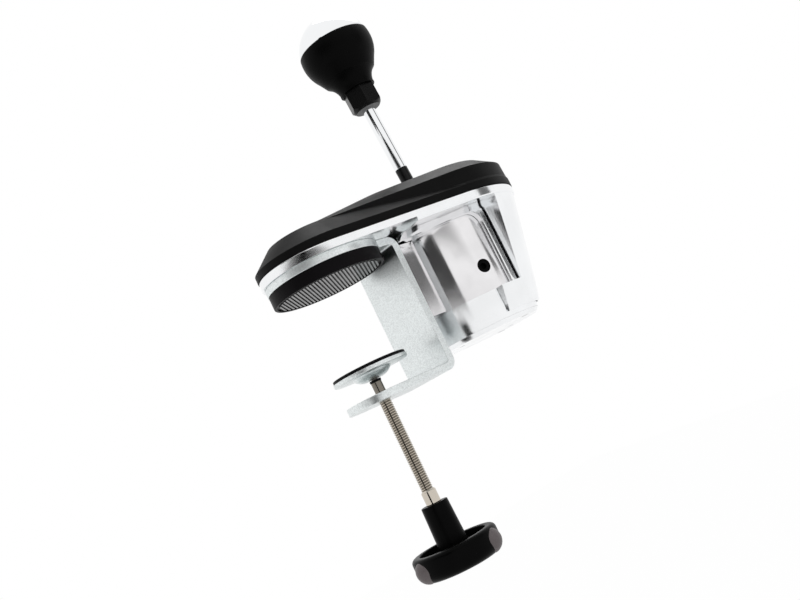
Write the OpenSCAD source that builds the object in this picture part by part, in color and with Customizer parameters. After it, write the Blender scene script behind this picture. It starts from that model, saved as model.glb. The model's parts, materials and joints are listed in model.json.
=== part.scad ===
// Gear shifter for a driving game: a spring-centred stick in a slotted gate, with a desk clamp.
// Millimetres. The origin is the centre of the upper pad's underside, where it meets the desk top.
// +X runs from the clamp towards the stick, +Z up, and the stick leans towards the clamp.

/* [Desk clamp] */
// Diameter of the upper rubber pad
pad_d = 76; // [70:1:82]
// Thickness of the upper rubber pad
pad_t = 8.5; // [7:0.5:11]
// Plain border round the ribs under the pad
pad_border = 2; // [1:0.5:5]
// Spacing of the ribs under the pad
rib_pitch = 2.2; // [1.8:0.1:3]
// Width of one rib
rib_w = 1.2; // [0.8:0.1:1.5]
// Depth of the grooves between the ribs
rib_depth = 1.2; // [0.6:0.1:2]
// Direction of the ribs, turned from the X axis
rib_angle = 52; // [0:1:90]
// Thickness of the steel strap
strap_t = 5; // [4:0.5:6]
// Width of the steel strap
strap_w = 48; // [40:1:54]
// Free space between the pad's edge and the strap
strap_gap = 2.5; // [2:0.5:5]
// Inner radius of the strap's bends
bend_r = 2; // [1:0.5:2]
// Height of the open jaw, from the pad to the lower flange
jaw_h = 75; // [72:1:85]

/* [Clamp screw and foot] */
// Outside diameter of the clamp screw's thread
screw_d = 8; // [7:0.5:10]
// Spacing of the thread's turns
thread_pitch = 1.5; // [1.25:0.25:2.5]
// Depth of the thread
thread_depth = 0.6; // [0.4:0.1:0.8]
// Length of the thread
thread_l = 66; // [60:1:76]
// Diameter of the plain part above the thread
plain_d = 7; // [6.6:0.2:7.4]
// Length of the plain part above the thread
plain_l = 8; // [6:0.5:9]
// Diameter of the plain shoulder under the thread
shoulder_d = 9.6; // [9:0.2:12]
// Length of the plain shoulder
shoulder_l = 8; // [5:1:12]
// Diameter of the screw's neck under its ball end
neck_d = 4; // [3.6:0.2:4.2]
// Diameter of the screw's ball end
ball_d = 6.4; // [6:0.2:6.6]
// Diameter of the swivel foot
foot_d = 50; // [46:1:58]
// Thickness of the rubber on the foot
foot_pad_t = 2; // [1:0.5:2.5]
// Thickness of the foot's steel plate
foot_plate_t = 2.5; // [2.5:0.5:3.5]
// Diameter of the foot's boss at the plate
boss_d = 26.5; // [25:0.5:30]
// Diameter of the foot's boss at the screw
boss_end_d = 10.2; // [10:0.2:12]
// Height of the foot's boss
boss_h = 4.5; // [4.5:0.5:5.5]
// Distance from the upper pad down to the foot at rest
foot_drop = 56; // [55.5:0.5:57]

/* [Handle] */
// Diameter of the handle's stem at the screw
stem_d = 17.5; // [15:0.5:18.5]
// Diameter of the handle's stem at the grip
stem_base_d = 19; // [19:0.5:22]
// Length of the handle's stem above the grip
stem_l = 25; // [20:1:30]
// Diameter of the grip between its lobes
grip_d = 56; // [52:1:60]
// Height of the grip
grip_h = 16; // [14:1:20]
// Wall of the hollow grip
grip_wall = 6; // [4:0.5:7]
// How far the lobes stand out past the grip
lobe_out = 3; // [1:0.5:4]

/* [Shell] */
// Distance from the clamp axis to the body axis
body_x = 100; // [99:0.5:102]
// Diameter of the shell's rim round the body
body_d = 121; // [118:1:124]
// Diameter of the shell's rim round the tail
tail_d = 80; // [79:0.5:84]
// Slope of the shell's rim, up towards the tail
rim_slope = 0.8; // [0.5:0.1:1]
// Thickness of the shell's tray over the strap
tray_t = 3.5; // [3:0.5:5]
// How far the tray's underside drops behind the strap
skirt_t = 2.5; // [2:0.5:3]
// Diameter of the shell's back at its lower edge
wrap_low_d = 89.5; // [88:0.5:94]
// Diameter of the shell's back at its foot
wrap_foot_d = 85.2; // [84.6:0.2:87]
// Height of the lower edge above the foot
wrap_foot_h = 7; // [5:0.5:9]
// Height of the shell's foot above the base ring's underside
wrap_foot_up = 3; // [1:0.5:5]
// Distance of the side windows' back edge behind the body axis
jamb_x = 8.5; // [7:0.5:10]
// How far the shell's foot reaches in front of the body axis
sill_x = 10; // [8:1:15]
// Depth of the lip round the window below the ceiling
brow_h = 3; // [2:0.5:5]
// Thickness of the lip round the window
lip_t = 3.5; // [2.5:0.5:4]
// Radius of the lip's corner
lip_corner = 9; // [6:0.5:12]

/* [Cover] */
// Height of the cover's upright wall
cover_wall_h = 5; // [4:0.5:6]
// How far the cover stands out past the shell's rim
cover_out = 0.5; // [0:0.1:1]
// Thickness of the cover
cover_t = 3; // [2.5:0.5:3.5]
// Diameter of the top of the tail
tail_top_d = 54; // [52:1:58]
// Height of the top of the tail above the rim
tail_top_h = 18.5; // [17:0.5:19]
// Diameter of the edge where the bevel starts
bevel_d = 120; // [117:0.5:121]
// Height of that edge above the rim
bevel_h = 16.5; // [15:0.5:18]
// Diameter of the flat deck
deck_d = 97; // [96:0.5:100]
// Height of the flat deck above the rim
deck_h = 24.5; // [23.5:0.5:26]
// How far the deck reaches towards the tail, to the centre of its round end
deck_reach = 56; // [50:1:60]
// Diameter of the deck's round end
deck_end_d = 68; // [62:1:72]

/* [Gate] */
// Diameter of the gate plate
gate_d = 88; // [87:0.5:90]
// Thickness of the gate plate
gate_t = 2.2; // [2:0.1:3]
// How far the gate plate stands proud of the deck
gate_proud = 1; // [0.5:0.1:1.2]
// Distance between the gate's slots
column_step = 14; // [13.5:0.1:14.2]
// Angle of the stick from neutral to a gear
shift_throw = 12; // [10:0.5:12]
// Clearance beside the bush in a slot
slot_gap = 0.35; // [0.25:0.05:0.5]
// Clearance past the bush at the end of a slot
slot_run = 0.6; // [0.5:0.1:1]

/* [Stick] */
// Diameter of the stick
stick_d = 9; // [8:0.5:9.4]
// Diameter of the stick's lower part, inside the bush
stick_low_d = 6.6; // [6:0.2:7]
// Diameter of the bush that runs in the gate
bush_d = 9; // [8.6:0.1:9.4]
// Length of the bush above the gate plate
bush_up = 22; // [15:1:30]
// Length of the bush below the gate plate
bush_down = 16; // [10:1:20]
// How far in front of the body axis the stick crosses the gate
stick_in = 1.5; // [0:0.5:2.5]
// Lean of the stick towards the clamp at rest
lean = 3; // [2:0.5:4]
// Depth of the pivot below the shell's ceiling
pivot_drop = 51; // [50:0.5:52]
// Length of the stick from the pivot to the knob's neck
stick_l = 167.5; // [150:1:180]

/* [Knob] */
// Diameter of the knob
knob_d = 53.6; // [48:0.2:58]
// Diameter of the knob's neck
knob_neck_d = 25.8; // [24.6:0.2:28]
// Radius of the hollow curve above the neck
knob_waist = 14.3; // [12:0.1:16]
// Height where the hollow curve gives way to the bulb
bulb_h = 18; // [16:0.5:19]
// Diameter of the knob at that height
bulb_d = 45; // [44:0.5:47]
// Height from the neck to the middle of the knob
knob_mid = 32; // [28:0.5:36]
// Height of the chrome cap's edge above the middle
cap_rise = 5.5; // [3:0.5:8]
// Thickness of the chrome cap
cap_t = 2; // [1.5:0.5:3]
// Diameter of the hexagonal collar across its corners
collar_d = 24.4; // [21:0.2:28]
// Length of the hexagonal collar
collar_l = 15.5; // [10:0.5:20]
// Chamfer on the collar's lower end
collar_chamfer = 3; // [1:0.5:4]

/* [Mechanism] */
// Outside diameter of the barrel
barrel_d = 80; // [79:0.5:81]
// Wall of the barrel
barrel_wall = 4.5; // [4:0.5:5]
// Height of the barrel
barrel_h = 56; // [55.5:0.5:57]
// Outside diameter of the base ring
base_d = 82; // [81.5:0.5:83]
// Wall of the base ring
base_wall = 5; // [4.5:0.5:5.5]
// Height of the base ring
base_h = 20; // [19.5:0.5:22]
// How far the base ring tapers in towards the base cover
base_taper = 1; // [0.5:0.25:1.5]
// Height of the base ring's taper
base_taper_h = 8; // [4:1:10]
// Thickness of the base cover
floor_t = 3; // [2.5:0.5:4]
// Chamfer round the base cover
floor_chamfer = 2.5; // [1:0.25:2.5]
// Width of the block between barrel and strap
block_w = 32; // [26:1:38]
// Diameter of the pivot ball
pivot_ball_d = 36; // [35:0.5:36.5]
// Wall of the gimbal ring
ring_wall = 6; // [5:0.5:6.5]
// Height of the gimbal ring
ring_h = 8; // [7.5:0.5:8.5]
// Diameter of the gimbal's pins
pin_d = 5; // [4.5:0.25:5.5]
// Diameter of the resistance adjuster
adjuster_d = 9.2; // [8:0.2:10]
// Height of the resistance adjuster above the pivot
adjuster_up = 12; // [11.5:0.5:13]
// Direction of the resistance adjuster from the pivot
adjuster_angle = -108; // [-112:0.5:-104]
// Distance between the cockpit bolt holes in the base
cockpit_step = 48; // [46:1:52]
// Diameter of the cockpit bolt holes, tapped for M6
cockpit_d = 5; // [4.8:0.1:5.2]
// Depth of the cockpit bolt holes
cockpit_depth = 10; // [8:0.5:10.5]
// Diameter of the cable socket
socket_d = 12; // [10:0.5:13]
// Diameter of the plug's space in the cable socket
plug_d = 9; // [7:0.5:9.5]
// Direction of the cable socket from the body axis
socket_angle = 122; // [120:1:128]

/* [Hidden] */
$fn = 64;
hull_fn = 32;

// Clearances
run_gap = 0.05;
press_gap = 0.02;
face_gap = 0.3;
swivel_gap = 0.5;
eps = 0.01;
disc_t = 0.2;

// Heights of the stack, from the desk pad to the gate
seat_z = pad_t + strap_t;
rim_z = seat_z + tray_t;
ceiling_z = seat_z - skirt_t;
barrel_z = ceiling_z - barrel_h;
base_z = barrel_z - base_h;
floor_z = base_z - floor_t;
deck_z = rim_z + deck_h;
gate_top = deck_z + gate_proud;
gate_z = gate_top - gate_t;
pivot_z = ceiling_z - pivot_drop;
flange_z = -jaw_h;

// Radii and places
pad_r = pad_d / 2;
strap_x = pad_r + strap_gap;
strap_back = strap_x + strap_t;
skirt_gap = 1;
skirt_x = strap_back + skirt_gap;
body_r = body_d / 2;
tail_r = tail_d / 2;
barrel_r = barrel_d / 2;
barrel_in = barrel_r - barrel_wall;
base_r = base_d / 2;
base_in = base_r - base_wall;
floor_r = base_r - base_taper;
wrap_in = barrel_r + face_gap;
throat_r = 30;
wrap_foot_z = base_z + wrap_foot_up;
rim_level_x = body_x + 35;
rim_rise = rim_level_x * tan(rim_slope);
lip_rib_w = 4.4;
lip_rib_t = 2.4;
lip_rib_back = 5.9;
lip_slope_in = 5.5;
lip_run_in = 2.5;
weld = 1;
side_in = 0.05;
wrap_in_edge = 0.4;
lip_in = wrap_in + face_gap;
pin_r = pin_d / 2;

// Gate: the bush crosses the plate's middle at the end of this arm
arm = gate_z + gate_t / 2 - pivot_z;
cross_x = body_x - stick_in;
pivot_x = cross_x + arm * tan(lean);
columns = [-1, 0, 1, 2];
far_column = max(columns);
near_column = min(columns);
function select_angle(i) = atan(i * column_step / arm);
function slot_w(i) =
    bush_d / cos(select_angle(i)) + gate_t * tan(abs(select_angle(i))) + 2 * slot_gap;
function gate_x(i, turn) = pivot_x + arm * tan(turn - lean) / cos(select_angle(i));
channel_w = bush_d + 4 * slot_gap;
opening_gap = 1.2;
shoulder_h = 1.5;
shoulder_in = 0.5;
opening_r = 6;
recess_gap = 0.3;

// Screws: three round the barrel, four in the gate, three under the pad, two under the tail
barrel_angles = [30, 150, 285];
barrel_screw_r = barrel_in - 2;
barrel_screw_d = 3;
barrel_boss_d = 6.8;
barrel_boss_h = 12;
small_head_d = 5.6;
small_head_h = 2;
gate_screw_d = 3;
gate_screw_in = 4;
gate_screw_r = gate_d / 2 - gate_screw_in;
gate_head_h = 1.4;
post_d = 8;
pad_angles = [60, 180, 300];
pad_screw_r = 20;
pad_screw_d = 5;
pad_head_d = 9;
pad_head_h = 2.5;
pad_boss_d = 10;
pad_boss_h = 8;
seat_out = 0.5;
tail_screw_x = -26;
tail_screw_y = 16;
tail_boss_d = 7;
tail_boss_h = 10;
screw_bite = 7;
tap_room = 1;
cockpit_wall = 3;
cockpit_end = 2;

// Pivot, gimbal and sensor
pivot_ball_r = pivot_ball_d / 2;
ring_in = pivot_ball_r + 2 * face_gap;
ring_r = ring_in + ring_wall;
pin_end = 0.9;
pin_boss_d = 9.6;
pin_depth = 4;
block_up = 1;
root_up = 2;
stick_root = pin_r + root_up;
magnet_t = 3;
board_w = 20;
board_h = 24;
board_t = 1.6;
board_y = barrel_in - 3.5;
board_screw_x = 6;
board_screw_up = 8;
board_screw_d = 2.4;
board_head_d = 4.4;
board_head_h = 1.2;
board_boss_d = 5.5;
board_bite = 3;
chip_w = 5;
chip_t = 1.2;
spring_d = 5.6;
spring_wall = 1;
spring_y = ring_in + ring_wall / 2;
spring_post_h = 4;

// Cable socket
socket_tail = 5;
plug_depth = 8;

// Detent under the ball, and the resistance adjuster beside it
plunger_d = 6;
plunger_l = 6;
plunger_guide_d = 10.4;
plunger_guide_h = 4.5;
detent_floor = 1.2;
detent_spring_d = 5.2;
shoe_d = 6;
shoe_reach = sqrt(pow(pivot_ball_r, 2) - pow(adjuster_up, 2));
shoe_flange_t = 2;
shoe_flange_in = 1;
coil_gap = 0.7;
coil_wall = 1.3;
guide_gap = 2.5;
guide_start = ring_r + guide_gap;
adjuster_wall = 2;
adjuster_l = 6;
adjuster_sunk = 1.2;
adjuster_hex = 4.6;
adjuster_hex_depth = 3;
adjuster_end = barrel_r - (pivot_x - body_x) * cos(adjuster_angle) - adjuster_sunk;
adjuster_start = adjuster_end - adjuster_l;

// Knob, in heights above its neck
knob_r = knob_d / 2;
cap_h = knob_mid + cap_rise;
neck_r = knob_neck_d / 2;
bulb_r = bulb_d / 2;
bulb_arc = (pow(knob_mid - bulb_h, 2) + pow(knob_r - bulb_r, 2)) / (2 * (knob_r - bulb_r));
neck_rim = 0.3;
neck_rim_h = 1.2;
insert_d = 14;
insert_l = 30;

// Clamp screw, from the foot's top down to the handle
foot_z = -foot_drop;
foot_plate_z = foot_z - foot_pad_t;
boss_z = foot_plate_z - foot_plate_t;
neck_z = boss_z - boss_h;
ball_up = 2.9;
ball_z = neck_z + ball_up;
ring_t = 1.4;
ring_d = 7.6;
foot_edge = 0.5;
ring_z = neck_z - swivel_gap - ring_t;
thread_top = ring_z - plain_l;
thread_end = thread_top - thread_l;
stem_z = thread_end - shoulder_l;
grip_z = stem_z - stem_l;
handle_z = grip_z - grip_h;
grip_r = grip_d / 2;
grip_floor = 4;
lip_r = 3;
foot_tilt = 5;
dome_angle = 60;
dome_steps = 8;
insert_wall = 2;
shank_up = 4;
stem_cap = 1;
shank_end = grip_z + shank_up;

// Outline of two round ends joined by straight sides, the second one on the body axis
module egg(r_tail, r_body) {
    a = acos((r_tail - r_body) / body_x);
    tail = (r_tail - side_in) * [cos(a), sin(a)];
    body = [body_x, 0] + (r_body - side_in) * [cos(a), sin(a)];
    circle(r_tail);
    translate([body_x, 0]) circle(r_body);
    polygon([tail, body, [body.x, -body.y], [tail.x, -tail.y]]);
}

// Thin disc for the cover's hulls, or a thick one where its height is given
module disc(x, r, z, h = disc_t) {
    translate([x, 0, z - h]) cylinder(r = r, h = h, $fn = 2 * hull_fn);
}

// Everything below the sloped plane of the rim, or everything above it
module rim_side(above) {
    translate([rim_level_x, 0, rim_z]) rotate([0, rim_slope, 0])
        translate([-3 * body_x, -body_x, above ? 0 : -body_x]) cube([4 * body_x, 2 * body_x, body_x]);
}

// Rectangle with round corners, from corner to corner
module rounded(low, high, r) {
    size = high - low;
    translate(low + [r, 0]) square([size.x - 2 * r, size.y]);
    translate(low + [0, r]) square([size.x, size.y - 2 * r]);
    for (x = [low.x + r, high.x - r], y = [low.y + r, high.y - r]) translate([x, y]) circle(r);
}

// A flat-headed screw along +Z: its head starts at z = 0
module screw(shank_d, length, head_d, head_h) {
    cylinder(d = head_d, h = head_h);
    cylinder(d = shank_d, h = length);
}

// Copies at given angles round an axis
module around(x, r, angles) {
    for (a = angles) translate([x + r * cos(a), r * sin(a), 0]) children();
}

// The stick's own axis, through the pivot and leaning at rest
module on_stick() {
    translate([pivot_x, 0, pivot_z]) rotate([0, -lean, 0]) children();
}

// The adjuster's axis, level and through the line of the pivot
module on_adjuster() {
    translate([pivot_x, 0, pivot_z + adjuster_up]) rotate([0, 90, adjuster_angle]) children();
}

// The cable socket's axis, level and through the body axis
module on_socket() {
    translate([body_x, 0, (barrel_z + base_z) / 2]) rotate([0, 90, socket_angle]) children();
}

// Slots of the gate, as a flat outline
module gate_slots() {
    for (i = columns) {
        w = slot_w(i);
        front = gate_x(i, -shift_throw) - slot_run;
        back = gate_x(i, shift_throw) + slot_run;
        y = -i * column_step;
        translate([front, y - w / 2]) square([back - front, w]);
        for (x = [front, back]) translate([x, y]) circle(d = w);
    }
    translate([cross_x - channel_w / 2, -far_column * column_step])
        square([channel_w, (far_column - near_column) * column_step]);
}

// Room for the bush under the gate plate
module gate_opening() {
    low = [gate_x(far_column, -shift_throw) - slot_w(far_column) / 2 - opening_gap,
        -far_column * column_step - slot_w(far_column) / 2 - opening_gap];
    high = [gate_x(far_column, shift_throw) + slot_w(far_column) / 2 + opening_gap,
        -near_column * column_step + slot_w(near_column) / 2 + opening_gap];
    rounded(low, high, opening_r);
}

// Moulded cover: an upright wall, a shoulder that fades towards the body, and a raised deck
module top_cover() {
    tail = tail_r + cover_out;
    body = body_r + cover_out;
    wall_z = rim_z + cover_wall_h;
    tail_top = rim_z + tail_top_h;
    inner_z = wall_z - shoulder_in;
    inner_tail = tail_top_d / 2 - cover_t;
    color("#232325") difference() {
        union() {
            difference() {
                union() {
                    hull() {
                        disc(0, tail, wall_z + rim_rise, cover_wall_h + rim_rise);
                        disc(body_x, body, wall_z, cover_wall_h + weld);
                        disc(0, tail_top_d / 2, tail_top);
                        disc(body_x, body - shoulder_in, wall_z + shoulder_h);
                    }
                    hull() {
                        disc(0, tail_top_d / 2 - shoulder_in, tail_top - shoulder_in);
                        disc(body_x, body - shoulder_in, wall_z);
                        disc(body_x, bevel_d / 2, rim_z + bevel_h);
                        disc(body_x, deck_d / 2, deck_z);
                        disc(deck_reach, deck_end_d / 2, deck_z);
                    }
                }
                hull() {
                    disc(0, tail - cover_t, inner_z + rim_rise, cover_wall_h + 2 * rim_rise);
                    disc(body_x, body - cover_t, inner_z, cover_wall_h + 2 * weld);
                    disc(0, inner_tail, tail_top - cover_t);
                }
                hull() {
                    disc(0, inner_tail - shoulder_in, tail_top - cover_t - shoulder_in);
                    disc(body_x, body - cover_t - shoulder_in, wall_z - cover_t);
                    disc(body_x, bevel_d / 2 - cover_t - shoulder_in, rim_z + bevel_h - shoulder_h);
                    disc(body_x, deck_d / 2 - cover_t, gate_z - cover_t);
                    disc(deck_reach, deck_end_d / 2 - cover_t, gate_z - cover_t);
                }
            }
            for (y = [-1, 1]) translate([tail_screw_x, y * tail_screw_y, rim_z])
                cylinder(d = tail_boss_d, h = tail_boss_h);
        }
        translate([body_x, 0, gate_z]) cylinder(d = gate_d + 2 * recess_gap, h = gate_t + gate_proud);
        translate([0, 0, gate_z - 2 * cover_t]) linear_extrude(2 * cover_t + eps) gate_opening();
        around(body_x, gate_screw_r, [0:90:270]) translate([0, 0, gate_z - 2 * cover_t])
            cylinder(d = gate_screw_d + 4 * run_gap, h = 2 * cover_t + eps);
        for (y = [-1, 1]) translate([tail_screw_x, y * tail_screw_y, rim_z - eps])
            cylinder(d = barrel_screw_d + 2 * press_gap, h = screw_bite + face_gap);
        rim_side(false);
    }
}

module cover_screws() {
    color("#3a3a3c") for (y = [-1, 1]) translate([tail_screw_x, y * tail_screw_y, seat_z])
        screw(barrel_screw_d, tray_t + screw_bite, small_head_d, small_head_h);
}

module gate_plate() {
    color("silver") translate([0, 0, gate_z]) difference() {
        translate([body_x, 0, 0]) cylinder(d = gate_d, h = gate_t);
        translate([0, 0, -eps]) linear_extrude(gate_t + 2 * eps) gate_slots();
        around(body_x, gate_screw_r, [0:90:270]) {
            translate([0, 0, -eps]) cylinder(d = gate_screw_d + 4 * run_gap, h = gate_t);
            translate([0, 0, gate_t - gate_head_h])
                cylinder(d = small_head_d + 2 * run_gap, h = gate_t);
        }
    }
}

module gate_screws() {
    length = gate_t + cover_t + screw_bite;
    color("#4a4a4c") around(body_x, gate_screw_r, [0:90:270]) translate([0, 0, gate_top])
        mirror([0, 0, 1]) screw(gate_screw_d, length, small_head_d, gate_head_h);
}

// Polished casting: the tray under the cover, and the back that wraps round the barrel
module body_shell() {
    color("#d9dcdd") difference() {
        union() {
            difference() {
                union() {
                    difference() {
                        translate([0, 0, ceiling_z]) linear_extrude(skirt_t + 2 * tray_t) egg(tail_r, body_r);
                        rim_side(true);
                    }
                    translate([body_x, 0, 0]) difference() {
                        rotate_extrude() polygon([
                            [wrap_in, seat_z],
                            [body_r - wrap_in_edge, seat_z],
                            [wrap_low_d / 2, wrap_foot_z + wrap_foot_h],
                            [wrap_foot_d / 2, wrap_foot_z],
                            [base_r + face_gap, wrap_foot_z],
                            [base_r + face_gap, barrel_z + face_gap],
                            [wrap_in, barrel_z + face_gap]]);
                        translate([jamb_x - 2 * body_d, -body_d, barrel_z])
                            cube([2 * body_d, 2 * body_d, ceiling_z - barrel_z]);
                        translate([-sill_x - 2 * body_d, -body_d, floor_z])
                            cube([2 * body_d, 2 * body_d, barrel_z - floor_z + eps]);
                    }
                }
                translate([skirt_x - 2 * body_d, -body_d, seat_z - body_d])
                    cube([2 * body_d, 2 * body_d, body_d]);
            }
            window_lip();
            lip_run();
            around(body_x, gate_screw_r, [0:90:270]) translate([0, 0, rim_z - weld])
                cylinder(d = post_d, h = gate_z - cover_t - rim_z + weld);
            around(0, pad_screw_r, pad_angles) translate([0, 0, rim_z - weld])
                cylinder(d = pad_boss_d, h = pad_boss_h + weld);
        }
        translate([body_x, 0, ceiling_z - eps]) cylinder(r = throat_r, h = 2 * tray_t + skirt_t);
        around(body_x, gate_screw_r, [0:90:270])
            translate([0, 0, gate_z - cover_t - screw_bite - face_gap])
            cylinder(d = gate_screw_d + 2 * press_gap, h = screw_bite + 2 * face_gap);
        around(0, pad_screw_r, pad_angles) translate([0, 0, seat_z - eps])
            cylinder(d = pad_screw_d + 2 * press_gap, h = tray_t + screw_bite);
        around(body_x, barrel_screw_r, barrel_angles) {
            translate([0, 0, ceiling_z - eps])
                cylinder(d = barrel_screw_d + 2 * run_gap, h = tray_t + skirt_t);
            translate([0, 0, rim_z - small_head_h])
                cylinder(d = small_head_d + 2 * run_gap, h = tray_t);
        }
        for (y = [-1, 1]) translate([tail_screw_x, y * tail_screw_y, seat_z - eps]) {
            cylinder(d = barrel_screw_d + 2 * run_gap, h = 2 * tray_t);
            cylinder(d = small_head_d + 2 * run_gap, h = small_head_h + eps);
        }
    }
}

// Arched lip round the side windows: a slope up to the ceiling, a rib down each side and a round corner
module window_lip() {
    lip_z = ceiling_z - brow_h;
    slope_r = body_r - lip_slope_in;
    rib_x = jamb_x - lip_rib_back;
    translate([body_x, 0, 0]) {
        difference() {
            rotate_extrude() polygon([
                [lip_in, lip_z],
                [lip_in + lip_t, lip_z],
                [slope_r, ceiling_z + weld],
                [lip_in, ceiling_z + weld]]);
            translate([jamb_x + weld, -body_d, lip_z - weld])
                cube([body_d, 2 * body_d, brow_h + 4 * weld]);
            translate([skirt_x - body_x - body_d, -body_d, lip_z - weld])
                cube([body_d, 2 * body_d, brow_h + 4 * weld]);
        }
        intersection() {
            translate([0, body_d, 0]) rotate([90, 0, 0]) linear_extrude(2 * body_d) {
                translate([rib_x, barrel_z - weld]) square([lip_rib_w, lip_z - barrel_z + 2 * weld]);
                translate([rib_x - lip_corner, lip_z - lip_corner]) difference() {
                    square(lip_corner + weld);
                    circle(lip_corner + face_gap);
                }
            }
            rotate_extrude() translate([base_r + 2 * face_gap, barrel_z - 2 * weld])
                square([lip_rib_t, lip_z - barrel_z + 4 * weld]);
        }
    }
}

// Straight part of the lip on each side, from the strap to where it meets the arch
module lip_run() {
    lip_mid = lip_in + lip_t / 2;
    run_x = strap_back + lip_run_in;
    run_y = strap_w / 2 - lip_run_in / 2;
    reach = norm([body_x - run_x, run_y]);
    turn = asin(lip_mid / reach) - atan2(run_y, body_x - run_x);
    for (side = [-1, 1]) translate([run_x, side * run_y, ceiling_z - brow_h]) rotate(side * turn)
        translate([0, -lip_t / 2, 0]) cube([sqrt(reach ^ 2 - lip_mid ^ 2), lip_t, brow_h + weld]);
}

// Brushed barrel with the block that stands against the strap, and bosses for all that it carries
module mechanism_housing() {
    block_z = ceiling_z - brow_h - face_gap;
    guide_d = adjuster_d + 2 * adjuster_wall;
    color("#b9bcbe") difference() {
        union() {
            translate([body_x, 0, barrel_z]) difference() {
                union() {
                    cylinder(r = barrel_r, h = barrel_h);
                    translate([strap_back - body_x, -block_w / 2, block_up])
                        cube([body_x - strap_back, block_w, block_z - barrel_z - block_up]);
                }
                translate([0, 0, -eps]) cylinder(r = barrel_in, h = barrel_h + 2 * eps);
            }
            intersection() {
                translate([body_x, 0, barrel_z]) cylinder(r = barrel_r - weld, h = barrel_h);
                union() {
                    around(body_x, barrel_screw_r, barrel_angles) {
                        translate([0, 0, barrel_z]) cylinder(d = barrel_boss_d, h = barrel_boss_h);
                        translate([0, 0, ceiling_z - barrel_boss_h])
                            cylinder(d = barrel_boss_d, h = barrel_boss_h);
                    }
                    for (s = [-1, 1]) translate([pivot_x + s * (ring_r + pin_end), 0, pivot_z])
                        rotate([0, s * 90, 0]) cylinder(d = pin_boss_d, h = barrel_d);
                    on_adjuster() translate([0, 0, guide_start]) cylinder(d = guide_d, h = barrel_r);
                    for (s = [-1, 1])
                        translate([body_x + s * board_screw_x, board_y + board_t, pivot_z + board_screw_up])
                        rotate([-90, 0, 0]) cylinder(d = board_boss_d, h = barrel_r - board_y);
                }
            }
        }
        around(body_x, barrel_screw_r, barrel_angles) {
            translate([0, 0, barrel_z - eps])
                cylinder(d = barrel_screw_d + 2 * press_gap, h = screw_bite + tap_room);
            translate([0, 0, ceiling_z - screw_bite - tap_room])
                cylinder(d = barrel_screw_d + 2 * press_gap, h = screw_bite + 2 * tap_room);
        }
        for (s = [-1, 1]) translate([pivot_x + s * ring_r, 0, pivot_z]) rotate([0, s * 90, 0])
            cylinder(d = pin_d + 2 * press_gap, h = pin_end + pin_depth + face_gap);
        on_adjuster() translate([0, 0, guide_start - eps])
            cylinder(d = adjuster_d + 2 * run_gap, h = barrel_r);
        for (s = [-1, 1]) translate([body_x + s * board_screw_x, board_y, pivot_z + board_screw_up])
            rotate([-90, 0, 0])
            cylinder(d = board_screw_d + 2 * press_gap, h = board_t + board_bite + tap_room);
    }
}

module housing_screws() {
    color("#6a6a6c") around(body_x, barrel_screw_r, barrel_angles) translate([0, 0, rim_z])
        mirror([0, 0, 1]) screw(barrel_screw_d, tray_t + skirt_t + screw_bite, small_head_d, small_head_h);
}

// Polished ring that closes the barrel below
module barrel_base() {
    color("#e2e4e5") difference() {
        union() {
            translate([body_x, 0, base_z]) difference() {
                rotate_extrude() polygon([
                    [0, 0],
                    [floor_r, 0],
                    [base_r, base_taper_h],
                    [base_r, base_h],
                    [0, base_h]]);
                translate([0, 0, -eps]) cylinder(r = base_in, h = base_h + 2 * eps);
            }
            intersection() {
                translate([body_x, 0, base_z]) cylinder(r = floor_r - weld, h = base_h);
                around(body_x, barrel_screw_r, barrel_angles) translate([0, 0, base_z])
                    cylinder(d = barrel_boss_d, h = base_h);
            }
        }
        around(body_x, barrel_screw_r, barrel_angles) translate([0, 0, base_z - eps])
            cylinder(d = barrel_screw_d + 2 * run_gap, h = base_h + 2 * eps);
        on_socket() cylinder(d = socket_d + 2 * press_gap, h = base_d);
    }
}

// Base cover with the cockpit bolt holes, the detent's guide and the springs' posts
module base_cover() {
    cockpit_boss_d = cockpit_d + 2 * cockpit_wall;
    color("#d5d7d8") difference() {
        union() {
            translate([body_x, 0, floor_z])
                cylinder(r1 = floor_r - floor_chamfer, r2 = floor_r, h = floor_t);
            for (s = [-1, 1]) translate([body_x + s * cockpit_step / 2, 0, base_z - eps])
                cylinder(d = cockpit_boss_d, h = cockpit_depth - floor_t + cockpit_end);
            translate([pivot_x, 0, base_z - eps]) cylinder(d = plunger_guide_d, h = plunger_guide_h);
            for (s = [-1, 1]) translate([pivot_x, s * spring_y, base_z - eps])
                cylinder(d = spring_d - 2 * spring_wall - 2 * run_gap, h = spring_post_h);
        }
        for (s = [-1, 1]) translate([body_x + s * cockpit_step / 2, 0, floor_z - eps])
            cylinder(d = cockpit_d, h = cockpit_depth + eps);
        translate([pivot_x, 0, floor_z + detent_floor]) cylinder(d = plunger_d + 2 * run_gap, h = base_h);
        around(body_x, barrel_screw_r, barrel_angles) translate([0, 0, floor_z - eps]) {
            cylinder(d = barrel_screw_d + 2 * run_gap, h = 2 * floor_t);
            cylinder(d = small_head_d + 2 * run_gap, h = small_head_h + eps);
        }
    }
}

module base_screws() {
    color("#6a6a6c") around(body_x, barrel_screw_r, barrel_angles) translate([0, 0, floor_z])
        screw(barrel_screw_d, floor_t + base_h + screw_bite, small_head_d, small_head_h);
}

module cable_socket() {
    back = base_in - socket_tail;
    color("#1b1b1c") on_socket() difference() {
        translate([0, 0, back]) cylinder(d = socket_d, h = base_r - back);
        translate([0, 0, base_r - plug_depth]) cylinder(d = plug_d, h = plug_depth + weld);
    }
}

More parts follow.
